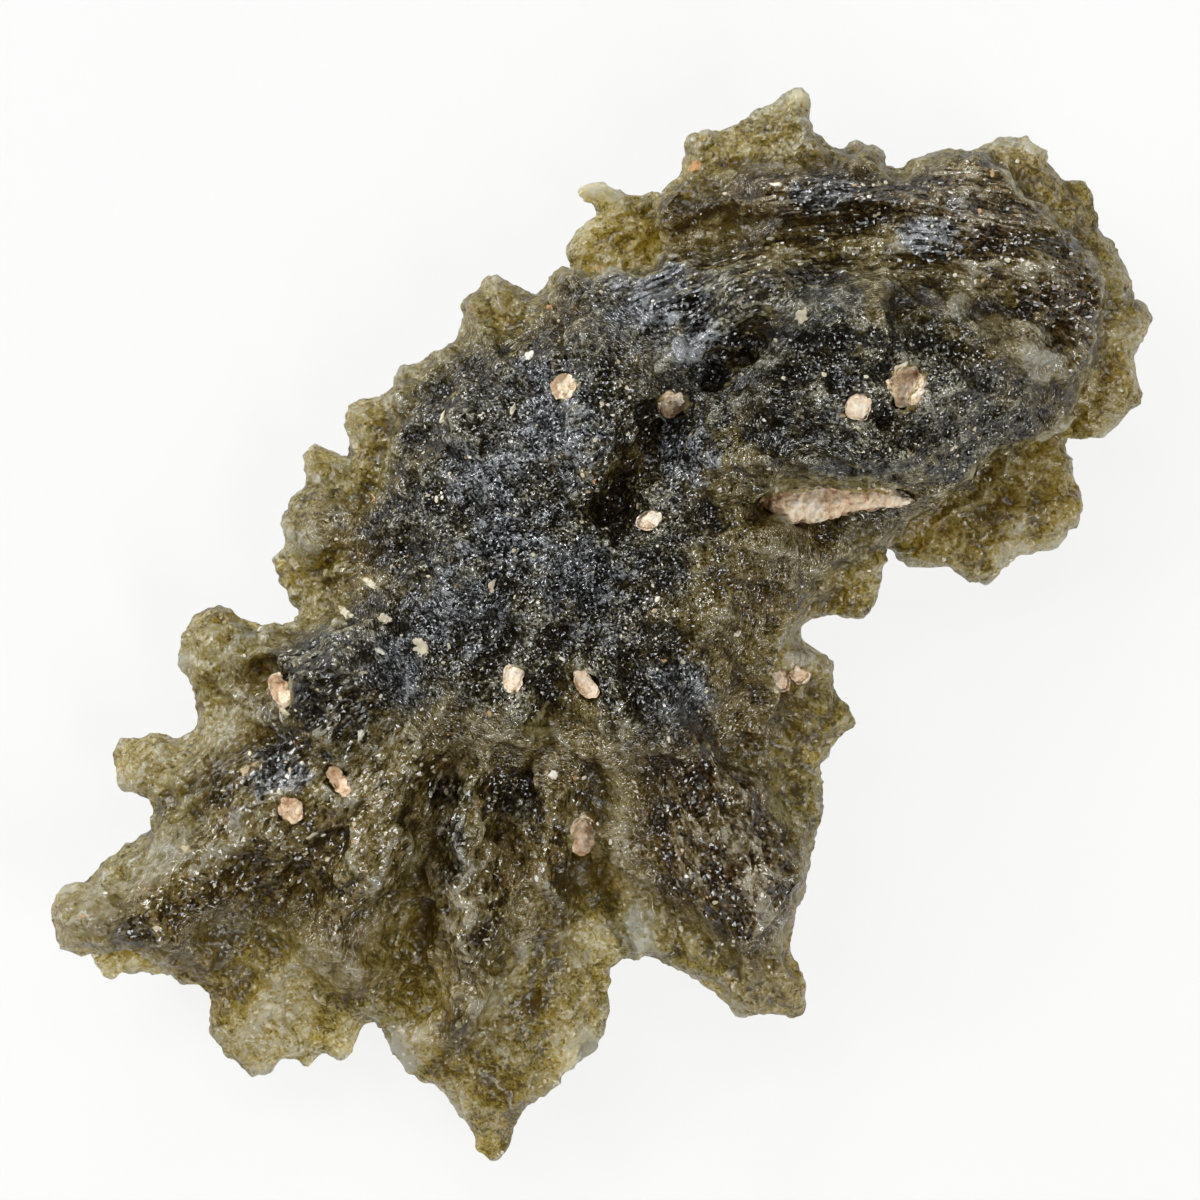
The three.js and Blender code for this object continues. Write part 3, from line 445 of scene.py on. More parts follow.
def finish_tree(tree, geometry, material):
    """Ends a tree: instances made real, and the material set."""
    realized = add_node(tree, "GeometryNodeRealizeInstances", None, {0: geometry}).outputs[0]
    dressed = add_node(tree, "GeometryNodeSetMaterial", None, {0: realized, "Material": material})
    add_node(tree, "NodeGroupOutput", None, {0: dressed.outputs[0]})


# %% [markdown]
# ## What the glass needs to know
# The material can't tell how thick the stone is at a point, or whether the point lies in a hollow.
# The tree can, so it measures both, and stores the answers on the points for the material. Thin
# glass is clear and hardly tipped; thick glass is dark and glitters. Hollows get painted shade,
# darker than crests, and steep walls get painted shade, darker than level ground, which makes the
# relief easy to read from above.

# %% Depth, hollows and facets
THICK = 3.6 * MM  # of glass, past which hardly any light comes through
THIN = 2.0 * MM  # up to which it is clear
RAY_START = 0.05 * MM  # how far below the skin the measuring starts
RIM = (1.8 * MM, 0.8 * MM)  # glass as thin as this is pale, and then clear


def glass_below(tree, geometry, position):
    """How much glass lies below a point."""
    start = vector_maths(tree, "SUBTRACT", position, (0, 0, RAY_START))
    inputs = {"Target Geometry": geometry, "Source Position": start, "Ray Direction": (0, 0, -1)}
    ray = add_node(tree, "GeometryNodeRaycast", None, inputs)
    return blend(tree, ray.outputs["Is Hit"], 0.0, ray.outputs["Hit Distance"])


def hollowness(tree, position, normal, rounds):
    """How far a point lies below the average of its surroundings, in millimetres."""
    inputs = {"Value": position, "Iterations": rounds}
    blur = add_node(tree, "GeometryNodeBlurAttribute", {"data_type": "FLOAT_VECTOR"}, inputs)
    away = vector_maths(tree, "SUBTRACT", blur.outputs[0], position)
    settings = {"operation": "DOT_PRODUCT"}
    rise = add_node(tree, "ShaderNodeVectorMath", settings, {0: away, 1: normal}).outputs["Value"]
    return maths(tree, "DIVIDE", rise, MM)


FACETS_PER_MM = 16.0
FACET_FLOW = (100.0, 4.0, 13.0, 24.0)  # where they are drawn out along the flow
EVEN_FACETS = (  # centre, even up to this distance, and drawn out from this one
    (FAN_POLE, 5.5, 8.0),
    (HEAD_CENTRE, 4.0, 5.5),
)


def drawn_out_cells(tree, plan):
    """Coordinates one unit across each facet: even in the middle, drawn out along the flow."""
    fan, head = flow_coordinates(tree, plan, *FACET_FLOW)
    even = scaled(tree, plan, FACETS_PER_MM)
    shares = []
    for centre, near, far in EVEN_FACETS:
        shares.append(remap(tree, off_centre(tree, plan, centre), near, far))
    fan = blend(tree, shares[0], even, fan, "VECTOR")
    head = blend(tree, shares[1], even, head, "VECTOR")
    return blend(tree, head_share(tree, plan), fan, head, "VECTOR")


print("thin glass, mm:", round(THIN / MM, 2), "thick glass, mm:", round(THICK / MM, 2))

# %% The relief's height
# How far a normal points up, from 1 to -1: where each begins and where it is full.
FACES_UP = (0.0, 0.3)
FACES_DOWN = (-0.1, -0.4)
FACES_SIDEWAYS = (0.5, 0.1)


def relief_height(tree, given, plan, swayed, facing):
    """How far the skin moves out at each point, in millimetres."""

    def per_size(label):
        """A size as a scale."""
        return maths(tree, "DIVIDE", 1.0, given[label])

    from_pole = off_centre(tree, plan, FAN_POLE)
    grooves = maths(tree, "SUBTRACT", flow_grooves(tree, plan, *RELIEF_GROOVES), GROOVE_MIDDLE)
    grooves = maths(tree, "MULTIPLY", grooves, remap(tree, from_pole, *GROOVES_FADE))
    reliefs = [
        (cups_at(tree, swayed, per_size("Large cup")), CUP_MIDDLE, "Large cup depth"),
        (cups_at(tree, swayed, per_size("Small cup")), CUP_MIDDLE, "Small cup depth"),
        (grooves, 0.0, "Groove depth"),
        (noise_at(tree, plan, *ROUGH_NOISE), MIDDLE, "Rough depth"),
        (noise_at(tree, plan, per_size("Grain"), *GRAIN_DETAIL), MIDDLE, "Grain depth"),
    ]
    total = None
    for height, middle, depth in reliefs:
        centred = maths(tree, "SUBTRACT", height, middle)
        part = maths(tree, "MULTIPLY", centred, given[depth])
        total = part if total is None else maths(tree, "ADD", total, part)
    filled = remap(tree, near_places(tree, plan, WORN_PITS), 0.0, 1.0, 0.0, WORN_PIT_FILL)
    filled = maths(tree, "MULTIPLY", filled, remap(tree, facing, *FACES_UP))
    return maths(tree, "ADD", total, filled)


def on_floor(tree, place):
    """The place, moved up to the floor where it would be below it."""
    split = add_node(tree, "ShaderNodeSeparateXYZ", None, {0: place})
    height = maths(tree, "MAXIMUM", split.outputs[2], 0.0)
    above = {0: split.outputs[0], 1: split.outputs[1], 2: height}
    return add_node(tree, "ShaderNodeCombineXYZ", None, above).outputs[0]


# %% The level of the glass's colour
# The level says how dark the glass's colour is: 0 for worn, pale glass and painted highlights,
# 1 for the painted shade deep in a hollow.
# Each line below adds to it. A pair is for thick glass and for thin glass.
MOTTLE_NOISE = (0.9, 3.0, 0.6)
MOTTLE = (0.3, 0.8)
RIM_LEVEL = -0.18
PALE_WEAR_AND_HIGHLIGHT_LEVEL = -0.4
STREAK_FLOW = (9.0, 0.15, 1.0, 3.0)
STREAKS_GROW = (3.0, 9.0, 0.1, 1.8)  # from hardly any, 3 mm off the pole, to full at 9 mm
# Painted shade: steep walls get a darker colour, in thick glass and in thin.
STEEP_WALL_SHADE = (0.3, 0.4)
# Painted shade: hollows get a darker colour, the wide ones and then the finer ones.
PAINTED_HOLLOW_SHADES = (  # rounds of blurring, shade for a millimetre of hollow, and the most so far
    (160, 0.12, 1.0),
    (40, 0.35, 0.08),
    (5, 2.4, 0.2),
)


def painted_hollow_shade(tree, position, normal):
    """Painted shade in hollows, from wide hollows to the finest ones."""
    shade = 0.0
    for rounds, weight, most in PAINTED_HOLLOW_SHADES:
        hollow = hollowness(tree, position, normal, rounds)
        shade = maths(tree, "MINIMUM", maths(tree, "MULTIPLY_ADD", hollow, weight, shade), most)
    return shade


def colour_level(tree, plan, swayed, facing, depth, thin):
    """How dark the colour is by place and by thickness, with painted shade on steep slopes."""
    from_pole = off_centre(tree, plan, FAN_POLE)
    mottle = maths(tree, "SUBTRACT", noise_at(tree, swayed, *MOTTLE_NOISE), MIDDLE)
    level = maths(tree, "MULTIPLY_ADD", mottle, blend(tree, thin, *MOTTLE), MIDDLE)
    level = maths(tree, "MULTIPLY_ADD", remap(tree, depth, *RIM), RIM_LEVEL, level)
    # pale places lighten the colour: wear, and painted highlights on the tips
    level = maths(tree, "MULTIPLY_ADD", finish_share(tree, plan, "pale"), PALE_WEAR_AND_HIGHLIGHT_LEVEL, level)
    streaks = maths(tree, "SUBTRACT", flow_grooves(tree, plan, *STREAK_FLOW), MIDDLE)
    level = maths(tree, "MULTIPLY_ADD", streaks, remap(tree, from_pole, *STREAKS_GROW), level)
    steep = remap(tree, facing, *FACES_SIDEWAYS)
    return maths(tree, "MULTIPLY_ADD", steep, blend(tree, thin, *STEEP_WALL_SHADE), level)


# %% The etching tree
FACET_TIP = (0.7, 0.12)  # how far the tiny facets are tipped, in thick glass and in thin
UNDERSIDE_TIP = 0.35
THICK_GRAIN = (0.8, 1.0)  # how strongly the facets differ in shade, on plain and on dark glass
THIN_GRAIN = 0.8
FROST_NOISE = (0.8, 4.0, 0.65)
# the loose frost carries the same painted bluish sheen
LOOSE_FROST_AND_SHEEN = (0.58, 0.68, 0.0, 0.5)  # frost outside its own places, where that noise is high


def etching_tree(material):
    """The tree that etches the skin and stores what the material reads."""
    tree = group_tree("etch the skin", RELIEF_SIZES)
    given = add_node(tree, "NodeGroupInput").outputs
    position = add_node(tree, "GeometryNodeInputPosition").outputs[0]
    normal = add_node(tree, "GeometryNodeInputNormal").outputs[0]
    facing = add_node(tree, "ShaderNodeSeparateXYZ", None, {0: normal}).outputs[2]
    plan = plan_position(tree, position)
    sway = add_node(tree, "ShaderNodeTexNoise", None, {"Vector": plan, **SWAY_NOISE})
    swayed = vector_maths(tree, "ADD", plan, scaled(tree, sway.outputs["Color"], SWAY))

    height = relief_height(tree, given, plan, swayed, facing)
    offset = scaled(tree, normal, maths(tree, "MULTIPLY", height, MM))
    placed = on_floor(tree, vector_maths(tree, "ADD", position, offset))
    inputs = {"Geometry": given["Geometry"], "Position": placed}
    etched = add_node(tree, "GeometryNodeSetPosition", None, inputs).outputs[0]

    depth = glass_below(tree, etched, position)
    thin = remap(tree, depth, THICK, THIN)
    dark = finish_share(tree, plan, "dark")
    loose_frost_and_sheen = remap(tree, noise_at(tree, swayed, *FROST_NOISE), *LOOSE_FROST_AND_SHEEN)
    tip = blend(tree, thin, *FACET_TIP)
    level = colour_level(tree, plan, swayed, facing, depth, thin)
    values = {
        "thin": thin,
        "frost": maths(tree, "MAXIMUM", finish_share(tree, plan, "frosted"), loose_frost_and_sheen),
        "dark": dark,
        "brown": finish_share(tree, plan, "brown"),
        "tip": blend(tree, remap(tree, facing, *FACES_DOWN), tip, UNDERSIDE_TIP),
        "grain": blend(tree, thin, blend(tree, dark, *THICK_GRAIN), THIN_GRAIN),
        "level": maths(tree, "ADD", level, painted_hollow_shade(tree, position, normal)),
    }
    for name, value in values.items():
        etched = stored(tree, etched, name, value)
    even = scaled(tree, plan, FACETS_PER_MM)
    cells = blend(tree, thin, drawn_out_cells(tree, plan), even, "VECTOR")
    etched = stored(tree, etched, "cells", cells, "FLOAT_VECTOR")
    finish_tree(tree, etched, material)
    return tree


# %% [markdown]
# ## Glass
# Moldavite is clear glass with a strong olive colour of its own. The colour sits in the volume:
# thin edges let the light through and look pale, and thick parts go nearly black. The etched skin
# is a mass of facets too small to model. Each cell of a fine Voronoi pattern tips the surface its
# own way, so that it either catches a light or stays dark, and the stone glitters. A smooth normal
# would draw the lights out into curls, so the true facets of the mesh are shaded instead. The
# colour ramps run from worn, pale glass and painted highlights to the painted shade of a hollow:
# one for each kind of finish.

# %% Helpers for materials


def new_material(name):
    """An empty material with its output node."""
    material = bpy.data.materials.new(name)
    material.use_nodes = True
    material.node_tree.nodes.clear()
    return material, material.node_tree


def object_plan(tree):
    """Plan coordinates for a shader."""
    return plan_position(tree, add_node(tree, "ShaderNodeTexCoord").outputs["Object"])


def attribute(tree, name):
    """A value that the etching tree stored."""
    return add_node(tree, "ShaderNodeAttribute", {"attribute_name": name})


def tipped_normal(tree, cell_colour):
    """The facets' own normal, tipped at random in each small cell."""
    tip = vector_maths(tree, "SUBTRACT", cell_colour, (MIDDLE, MIDDLE, MIDDLE))
    normal = add_node(tree, "ShaderNodeNewGeometry").outputs["True Normal"]
    amount = attribute(tree, "tip").outputs["Fac"]
    tipped = vector_maths(tree, "ADD", normal, scaled(tree, tip, amount))
    return vector_maths(tree, "NORMALIZE", tipped)


def ramp_of(tree, value, stops):
    """A colour ramp with the given stops."""
    ramp = add_node(tree, "ShaderNodeValToRGB", None, {0: value})
    stretch = ramp.color_ramp
    for place, colour in stops[1:-1]:
        stretch.elements.new(place).color = (*colour, 1)
    for end in (0, -1):
        place, colour = stops[end]
        stretch.elements[end].position = place
        stretch.elements[end].color = (*colour, 1)
    return ramp.outputs[0]


# %% Colours of the glass
# A stop is a level, from worn glass and painted highlights to the painted shade of a hollow, and
# the glass's colour there.
DUSTY = [
    (0.02, (0.96, 0.92, 0.72)),
    (0.12, (0.42, 0.385, 0.22)),
    (0.24, (0.110, 0.100, 0.045)),
    (0.42, (0.006, 0.005, 0.003)),
]
# Frosted glass with a painted bluish sheen, from its palest to its darkest.
FROSTY_SHEEN = [
    (0.16, (0.92, 0.95, 0.98)),
    (0.30, (0.44, 0.47, 0.48)),
    (0.44, (0.130, 0.140, 0.140)),
    (0.60, (0.008, 0.008, 0.008)),
]
RUSTY = [
    (0.04, (0.98, 0.88, 0.62)),
    (0.18, (0.46, 0.34, 0.14)),
    (0.38, (0.20, 0.125, 0.032)),
    (0.64, (0.030, 0.017, 0.005)),
]
OLIVE = [
    (0.06, (0.98, 0.90, 0.66)),
    (0.24, (0.62, 0.48, 0.18)),
    (0.48, (0.36, 0.255, 0.06)),
    (0.74, (0.06, 0.038, 0.01)),
]
THIN_GLASS = [
    (0.02, (0.98, 0.93, 0.72)),
    (0.20, (0.72, 0.59, 0.21)),
    (0.52, (0.54, 0.41, 0.08)),
    (0.80, (0.13, 0.09, 0.015)),
]
for stops in (DUSTY, FROSTY_SHEEN, RUSTY, OLIVE, THIN_GLASS):
    print("colour in the middle of a ramp:", stops[len(stops) // 2][1])

# %% The glass material
# A fine grain in the colour, whose pale specks are partly painted glints.
GRIT_AND_GLINT_NOISE = (8.0, 3.0, 0.8)
GRIT_AND_GLINT_STRENGTH = 2.2
CELL_STRENGTH = 0.6
FOLD_NOISE = (1.0, 4.0, 0.6)
CREASES = (0.0, 0.03, 0.35, 0.0)  # dark lines in thin glass, where that noise is at its middle
ROUGHNESSES = (0.11, 0.28)  # of thick and of thin glass


def glass_material():
    """Clear olive glass under an etched skin."""
    material, tree = new_material("etched_olive_glass")
    frost = attribute(tree, "frost").outputs["Fac"]
    dark = attribute(tree, "dark").outputs["Fac"]
    brown = attribute(tree, "brown").outputs["Fac"]
    thin = attribute(tree, "thin").outputs["Fac"]
    grain = attribute(tree, "grain").outputs["Fac"]
    level = attribute(tree, "level").outputs["Fac"]
    where = attribute(tree, "cells").outputs["Vector"]
    cells = add_node(tree, "ShaderNodeTexVoronoi", None, {"Vector": where, "Scale": 1.0})
    plan = object_plan(tree)
    # specks: fine grain and painted glints, plus each facet's own random tone
    grit_and_glints = maths(tree, "SUBTRACT", noise_at(tree, plan, *GRIT_AND_GLINT_NOISE), MIDDLE)
    specks = maths(tree, "MULTIPLY", grit_and_glints, GRIT_AND_GLINT_STRENGTH)
    own_shade = add_node(tree, "ShaderNodeSeparateColor", None, {0: cells.outputs["Color"]})
    own_shade = maths(tree, "SUBTRACT", own_shade.outputs[0], MIDDLE)
    specks = maths(tree, "MULTIPLY_ADD", own_shade, CELL_STRENGTH, specks)
    level = maths(tree, "MULTIPLY_ADD", specks, grain, level)
    folds = maths(tree, "SUBTRACT", noise_at(tree, plan, *FOLD_NOISE), MIDDLE)
    creases = remap(tree, maths(tree, "ABSOLUTE", folds), *CREASES)
    level = maths(tree, "MULTIPLY_ADD", creases, thin, level)
    finishes = (OLIVE, RUSTY, DUSTY, FROSTY_SHEEN, THIN_GLASS)
    olive, rusty, dusty, frosty_sheen, thin_glass = (ramp_of(tree, level, stops) for stops in finishes)
    # the skin's colour: the glass's own tones, with painted shade and painted highlights in its
    # level
    skin_colour = blend(tree, brown, olive, rusty, "RGBA")
    skin_colour = blend(tree, dark, skin_colour, dusty, "RGBA")
    # frosted patches take the colour with the painted bluish sheen
    skin_colour = blend(tree, frost, skin_colour, frosty_sheen, "RGBA")
    inputs = {
        "Base Color": blend(tree, thin, skin_colour, thin_glass, "RGBA"),
        "Roughness": blend(tree, thin, *ROUGHNESSES),
        "IOR": 1.49,
        "Transmission Weight": 0.75,
        "Normal": tipped_normal(tree, cells.outputs["Color"]),
    }
    shader = add_node(tree, "ShaderNodeBsdfPrincipled", None, inputs)
    inputs = {"Color": (0.66, 0.575, 0.01, 1), "Density": 1850.0}
    depths = add_node(tree, "ShaderNodeVolumeAbsorption", None, inputs)
    outputs = {"Surface": shader.outputs[0], "Volume": depths.outputs[0]}
    add_node(tree, "ShaderNodeOutputMaterial", None, outputs)
    return material


glass = glass_material()
print("nodes in the glass material:", len(glass.node_tree.nodes))

# %% Etch the stone
etch = even_stone.modifiers.new("etch", "NODES")
etch.node_group = etching_tree(glass)
stone = plain_mesh(even_stone, "etched_stone")
bpy.data.objects.remove(even_stone)
for polygon in stone.data.polygons:
    polygon.use_smooth = True
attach(stone, "root")
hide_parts("moldavite")
print("triangles in the etched stone:", sum(len(p.vertices) - 2 for p in stone.data.polygons))

# %% [markdown]
# ## Clay
# The stone lay in clay, and a little of it is still packed in a crack and in the deeper pits. It
# is dry, pinkish beige, orange where it holds more iron, and worn level with the glass. Each CAD
# lump gets a fine net. Its top is then laid on the etched glass, a little proud in its middle and
# below the glass at its rim, so that a noise leaves it with a ragged outline. It follows the
# average of the glass round each point, because clay fills the finest etching.

# %% The clay material
CLAY_TONES = [
    (0.30, (0.42, 0.24, 0.12)),
    (0.42, (0.76, 0.54, 0.34)),
    (0.54, (0.88, 0.72, 0.53)),
    (0.68, (0.95, 0.87, 0.73)),
]  # rusty, beige, and nearly white clay
RUSTY_CLAY = [(5.0, 3.3, 1.8), (-3.4, -6.2, 0.2)]  # x, y and radius on the plan
RUST = -0.22
PATCH_NOISE = (2.6, 4.0, 0.75)
BROAD_NOISE = (0.6, 1.0)
BROAD_STRENGTH = 0.5
CLAY_GRAIN_NOISE = (12.0, 3.0, 0.7)
CLAY_GRAIN = 0.08 * MM


def earthy(tree, colour, roughness, grain, strength, depth):
    """A dull surface with a fine grain."""
    inputs = {"Strength": strength, "Distance": depth, "Height": grain}
    bump = add_node(tree, "ShaderNodeBump", None, inputs).outputs[0]
    inputs = {"Base Color": colour, "Roughness": roughness, "Normal": bump}
    shader = add_node(tree, "ShaderNodeBsdfPrincipled", None, inputs)
    add_node(tree, "ShaderNodeOutputMaterial", None, {"Surface": shader.outputs[0]})


def clay_material():
    """Dry clay, from rusty to pale."""
    material, tree = new_material("dry_pink_clay")
    plan = object_plan(tree)
    patches = noise_at(tree, plan, *PATCH_NOISE)
    broad = maths(tree, "SUBTRACT", noise_at(tree, plan, *BROAD_NOISE), MIDDLE)
    patches = maths(tree, "MULTIPLY_ADD", broad, BROAD_STRENGTH, patches)
    rusty = maths(tree, "MAXIMUM", near_places(tree, plan, RUSTY_CLAY), 0.0)
    patches = maths(tree, "MULTIPLY_ADD", rusty, RUST, patches)
    grain = noise_at(tree, plan, *CLAY_GRAIN_NOISE)
    earthy(tree, ramp_of(tree, patches, CLAY_TONES), 0.9, grain, 1.0, CLAY_GRAIN)
    return material


clay = clay_material()
print("nodes in the clay material:", len(clay.node_tree.nodes))

# %% The height of the etched glass
glass_surface = BVHTree.FromObject(stone, bpy.context.evaluated_depsgraph_get())
HIGH_ABOVE = Vector((0, 0, 0.03))
CLAY_RING = 0.12 * MM  # how far round a point the glass is averaged


def glass_height(x, y):
    """The height of the etched glass at a place, or nothing outside the stone."""
    hit = glass_surface.ray_cast(Vector((x, y, 0)) + HIGH_ABOVE, Vector((0, 0, -1)))[0]
    return hit and hit.z


def level_near(x, y, own_level, climb):
    """The glass's height averaged round a place, kept within a step of the lump's own height."""
    ring = ((0, 0), (1, 0), (-1, 0), (0, 1), (0, -1))
    heights = [glass_height(x + right * CLAY_RING, y + up * CLAY_RING) for right, up in ring]
    found = [height for height in heights if height is not None]
    if not found:
        return own_level
    middle = sum(found) / len(found)
    return min(max(middle, own_level - climb), own_level + climb)


middle_height = glass_height(*on_model(0, 0).xy)
print("height of the glass in the middle, mm:", round(middle_height / MM, 2))

# %% Lumps of clay
CLAY_STEP = 0.04 * MM  # one square of a lump's net
CLAY_GROWTH = 0.05 * MM  # how far a lump reaches past the CAD lump
CLAY_OUTLINE = 0.11 * MM  # how far its outline wanders
CLAY_PROUD = 0.28 * MM  # how far the middle of a lump stands above the glass
CLAY_SUNK = 0.06 * MM  # how far its rim lies below the glass
CLAY_RAGGED = 0.10 * MM  # how uneven its top is
SEAM_CLIMB = 0.30 * MM  # how far the seam follows the etched glass up or down
PLUG_CLIMB = 1.4 * MM  # the same, for the lumps in the pits
# The noises of the top and of the outline: scale per millimetre, then the fractal's own settings.
TOP_SCALE = 4.0
TOP_FRACTAL = (0.7, 2.0, 4)
OUTLINE_SCALE = 1.7
OUTLINE_FRACTAL = (0.6, 2.0, 4)


def crumbly_lump(node_name):
    """A finer, rougher lump over a CAD lump of clay, laid on the etched glass."""
    rough = working_copy(node_name, node_name + "_work")
    net = rough.modifiers.new("net", "REMESH")
    net.mode = "VOXEL"
    net.voxel_size = CLAY_STEP
    lump = plain_mesh(rough, node_name.replace("clay", "crumbly_clay"))
    bpy.data.objects.remove(rough)
    low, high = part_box(node_name)
    middle = (low[2] + high[2]) / 2
    climb = SEAM_CLIMB if node_name == "clay_seam" else PLUG_CLIMB
    for vertex, normal in [(v, v.normal.copy()) for v in lump.data.vertices]:
        share = (vertex.co.z - middle) / (high[2] - middle)
        rough_height = noise.fractal(vertex.co / MM * TOP_SCALE, *TOP_FRACTAL)
        wander = noise.fractal(vertex.co / MM * OUTLINE_SCALE, *OUTLINE_FRACTAL)
        vertex.co += normal * (CLAY_GROWTH + CLAY_OUTLINE * wander)
        if share > 0:
            level = level_near(vertex.co.x, vertex.co.y, vertex.co.z, climb)
            rise = CLAY_PROUD * share - CLAY_SUNK * (1 - share)
            vertex.co.z = level + rise + CLAY_RAGGED * rough_height
    lump.data.materials.clear()
    lump.data.materials.append(clay)
    for polygon in lump.data.polygons:
        polygon.use_smooth = True
    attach(lump, "root")
    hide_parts(node_name)
    return lump


lumps = [crumbly_lump(name) for name in sorted(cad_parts) if name.startswith("clay")]
print("lumps of clay:", len(lumps))

# %% [markdown]
# ## Specks of soil
# Fine specks of dry soil cling to the etched skin in loose drifts, mostly where the glass is thick
# and faces up. They are too many to place by hand, so a Geometry Nodes tree scatters a small flat
# grain over the glass, turns each one to the surface, and leaves few on the thin clear lobes.

# %% The soil material
SOIL_TONES = [  # rusty grains, brown ones, and pale crusts
    (0.0, (0.40, 0.20, 0.08)),
    (0.2, (0.42, 0.35, 0.22)),
    (0.8, (0.58, 0.52, 0.38)),
    (1.0, (0.80, 0.76, 0.66)),
]
SOIL_GRAIN_NOISE = (20.0, 2.0, 0.6)
SOIL_GRAIN = 0.02 * MM


def soil_material():
    """Dry soil, whose tone is stored on each grain."""
    material, tree = new_material("pale_dry_soil")
    tone = attribute(tree, "tone").outputs["Fac"]
    grain = noise_at(tree, object_plan(tree), *SOIL_GRAIN_NOISE)
    earthy(tree, ramp_of(tree, tone, SOIL_TONES), 0.85, grain, 0.6, SOIL_GRAIN)
    return material


soil = soil_material()
print("nodes in the soil material:", len(soil.node_tree.nodes))

# %% Sizes of the specks
SPECK_SIZES = {
    "Density": 14.0,  # specks on a square millimetre, before the noise thins them out
    "Smallest": 0.014,  # millimetres, from the middle of a speck to its edge
    "Largest": 0.075,
}
CLUSTER_NOISE = (0.9, 3.0, 0.6)
CLUSTERED = (0.42, 0.68)  # no specks below the first value of that noise, all from the second
LEVEL_ENOUGH = (0.1, 0.5)  # the same, for how far the glass faces up
THIN_GLASS_SHARE = 0.25  # a thin lobe has this share of the specks
MOSTLY_SMALL = 6.0  # the power that a random size is raised to
LONGEST = 1.9  # the most that a speck is drawn out, times its width
FLATNESS = 0.45
FULL_TURN = 6.28  # radians
DENT_NOISE = {"Scale": 14.0, "Detail": 1.0}
DENT = 0.09 * MM  # how far a grain's points are pushed about
SPREAD_SEED = 5
SPIN_SEED = 11
SIZE_SEED = 12
LENGTH_SEED = 13
TONE_SEED = 14
for label, size in SPECK_SIZES.items():
    print(label, size)

# %% The tree that scatters specks


def random_number(tree, low, high, seed):
    """A number of its own for each speck."""
    inputs = {2: low, 3: high, "Seed": seed}
    return add_node(tree, "FunctionNodeRandomValue", {"data_type": "FLOAT"}, inputs).outputs[1]


def speck_tree(material):
    """The tree that scatters specks over a surface and keeps only the specks."""
    tree = group_tree("scatter specks", SPECK_SIZES)
    given = add_node(tree, "NodeGroupInput").outputs
    position = add_node(tree, "GeometryNodeInputPosition").outputs[0]
    plan = plan_position(tree, position)
    thin = add_node(tree, "GeometryNodeInputNamedAttribute", None, {"Name": "thin"}).outputs[0]
    normal = add_node(tree, "GeometryNodeInputNormal").outputs[0]
    facing = add_node(tree, "ShaderNodeSeparateXYZ", None, {0: normal}).outputs[2]
    clusters = remap(tree, noise_at(tree, plan, *CLUSTER_NOISE), *CLUSTERED)
    share = maths(tree, "MULTIPLY", clusters, remap(tree, facing, *LEVEL_ENOUGH))
    share = maths(tree, "MULTIPLY", share, blend(tree, thin, 1.0, THIN_GLASS_SHARE))
    per_area = maths(tree, "DIVIDE", given["Density"], MM * MM)
    density = maths(tree, "MULTIPLY", share, per_area)
    inputs = {"Mesh": given["Geometry"], "Density": density, "Seed": SPREAD_SEED}
    points = add_node(tree, "GeometryNodeDistributePointsOnFaces", None, inputs)
    grain = add_node(tree, "GeometryNodeMeshIcoSphere", None, {"Radius": MM, "Subdivisions": 1})
    spin = {2: random_number(tree, 0.0, FULL_TURN, SPIN_SEED)}
    spin = add_node(tree, "ShaderNodeCombineXYZ", None, spin).outputs[0]
    turns = {0: points.outputs["Rotation"], 1: spin}
    turned = add_node(tree, "FunctionNodeRotateRotation", {"rotation_space": "LOCAL"}, turns)
    chance = random_number(tree, 0.0, 1.0, SIZE_SEED)
    mostly_small = maths(tree, "POWER", chance, MOSTLY_SMALL)
    size = blend(tree, mostly_small, given["Smallest"], given["Largest"])
    length = maths(tree, "MULTIPLY", size, random_number(tree, 1.0, LONGEST, LENGTH_SEED))
    height = maths(tree, "MULTIPLY", size, FLATNESS)
    scale = add_node(tree, "ShaderNodeCombineXYZ", None, {0: length, 1: size, 2: height}).outputs[0]
    inputs = {
        "Points": points.outputs["Points"],
        "Instance": grain.outputs["Mesh"],
        "Rotation": turned.outputs[0],
        "Scale": scale,
    }
    grains = add_node(tree, "GeometryNodeInstanceOnPoints", None, inputs).outputs[0]
    inputs = {"Geometry": grains, "Name": "tone"}
    inputs["Value"] = random_number(tree, 0.0, 1.0, TONE_SEED)
    kept = add_node(tree, "GeometryNodeStoreNamedAttribute", {"domain": "INSTANCE"}, inputs)
    realized = add_node(tree, "GeometryNodeRealizeInstances", None, {0: kept.outputs[0]}).outputs[0]
    dent = add_node(tree, "ShaderNodeTexNoise", None, {"Vector": plan, **DENT_NOISE})
    dent = vector_maths(tree, "SUBTRACT", dent.outputs["Color"], (MIDDLE, MIDDLE, MIDDLE))
    inputs = {"Geometry": realized, "Offset": scaled(tree, dent, DENT)}
    uneven = add_node(tree, "GeometryNodeSetPosition", None, inputs).outputs[0]
    finish_tree(tree, uneven, material)
    return tree


# %% Scatter the specks
bare_stone = bpy.data.objects.new("bare_stone", stone.data.copy())
bpy.context.scene.collection.objects.link(bare_stone)
bare_stone.modifiers.new("specks", "NODES").node_group = speck_tree(soil)
specks = plain_mesh(bare_stone, "soil_specks")
bpy.data.objects.remove(bare_stone)
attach(specks, "root")
print("triangles in the specks:", sum(len(p.vertices) - 2 for p in specks.data.polygons))

# %% [markdown]
# ## Chips of soil
# A few crusts of soil are large enough to see on their own, and each has its own place. A chip is
# a ball, pressed flat, given a ragged outline and laid on the etched glass like the clay.

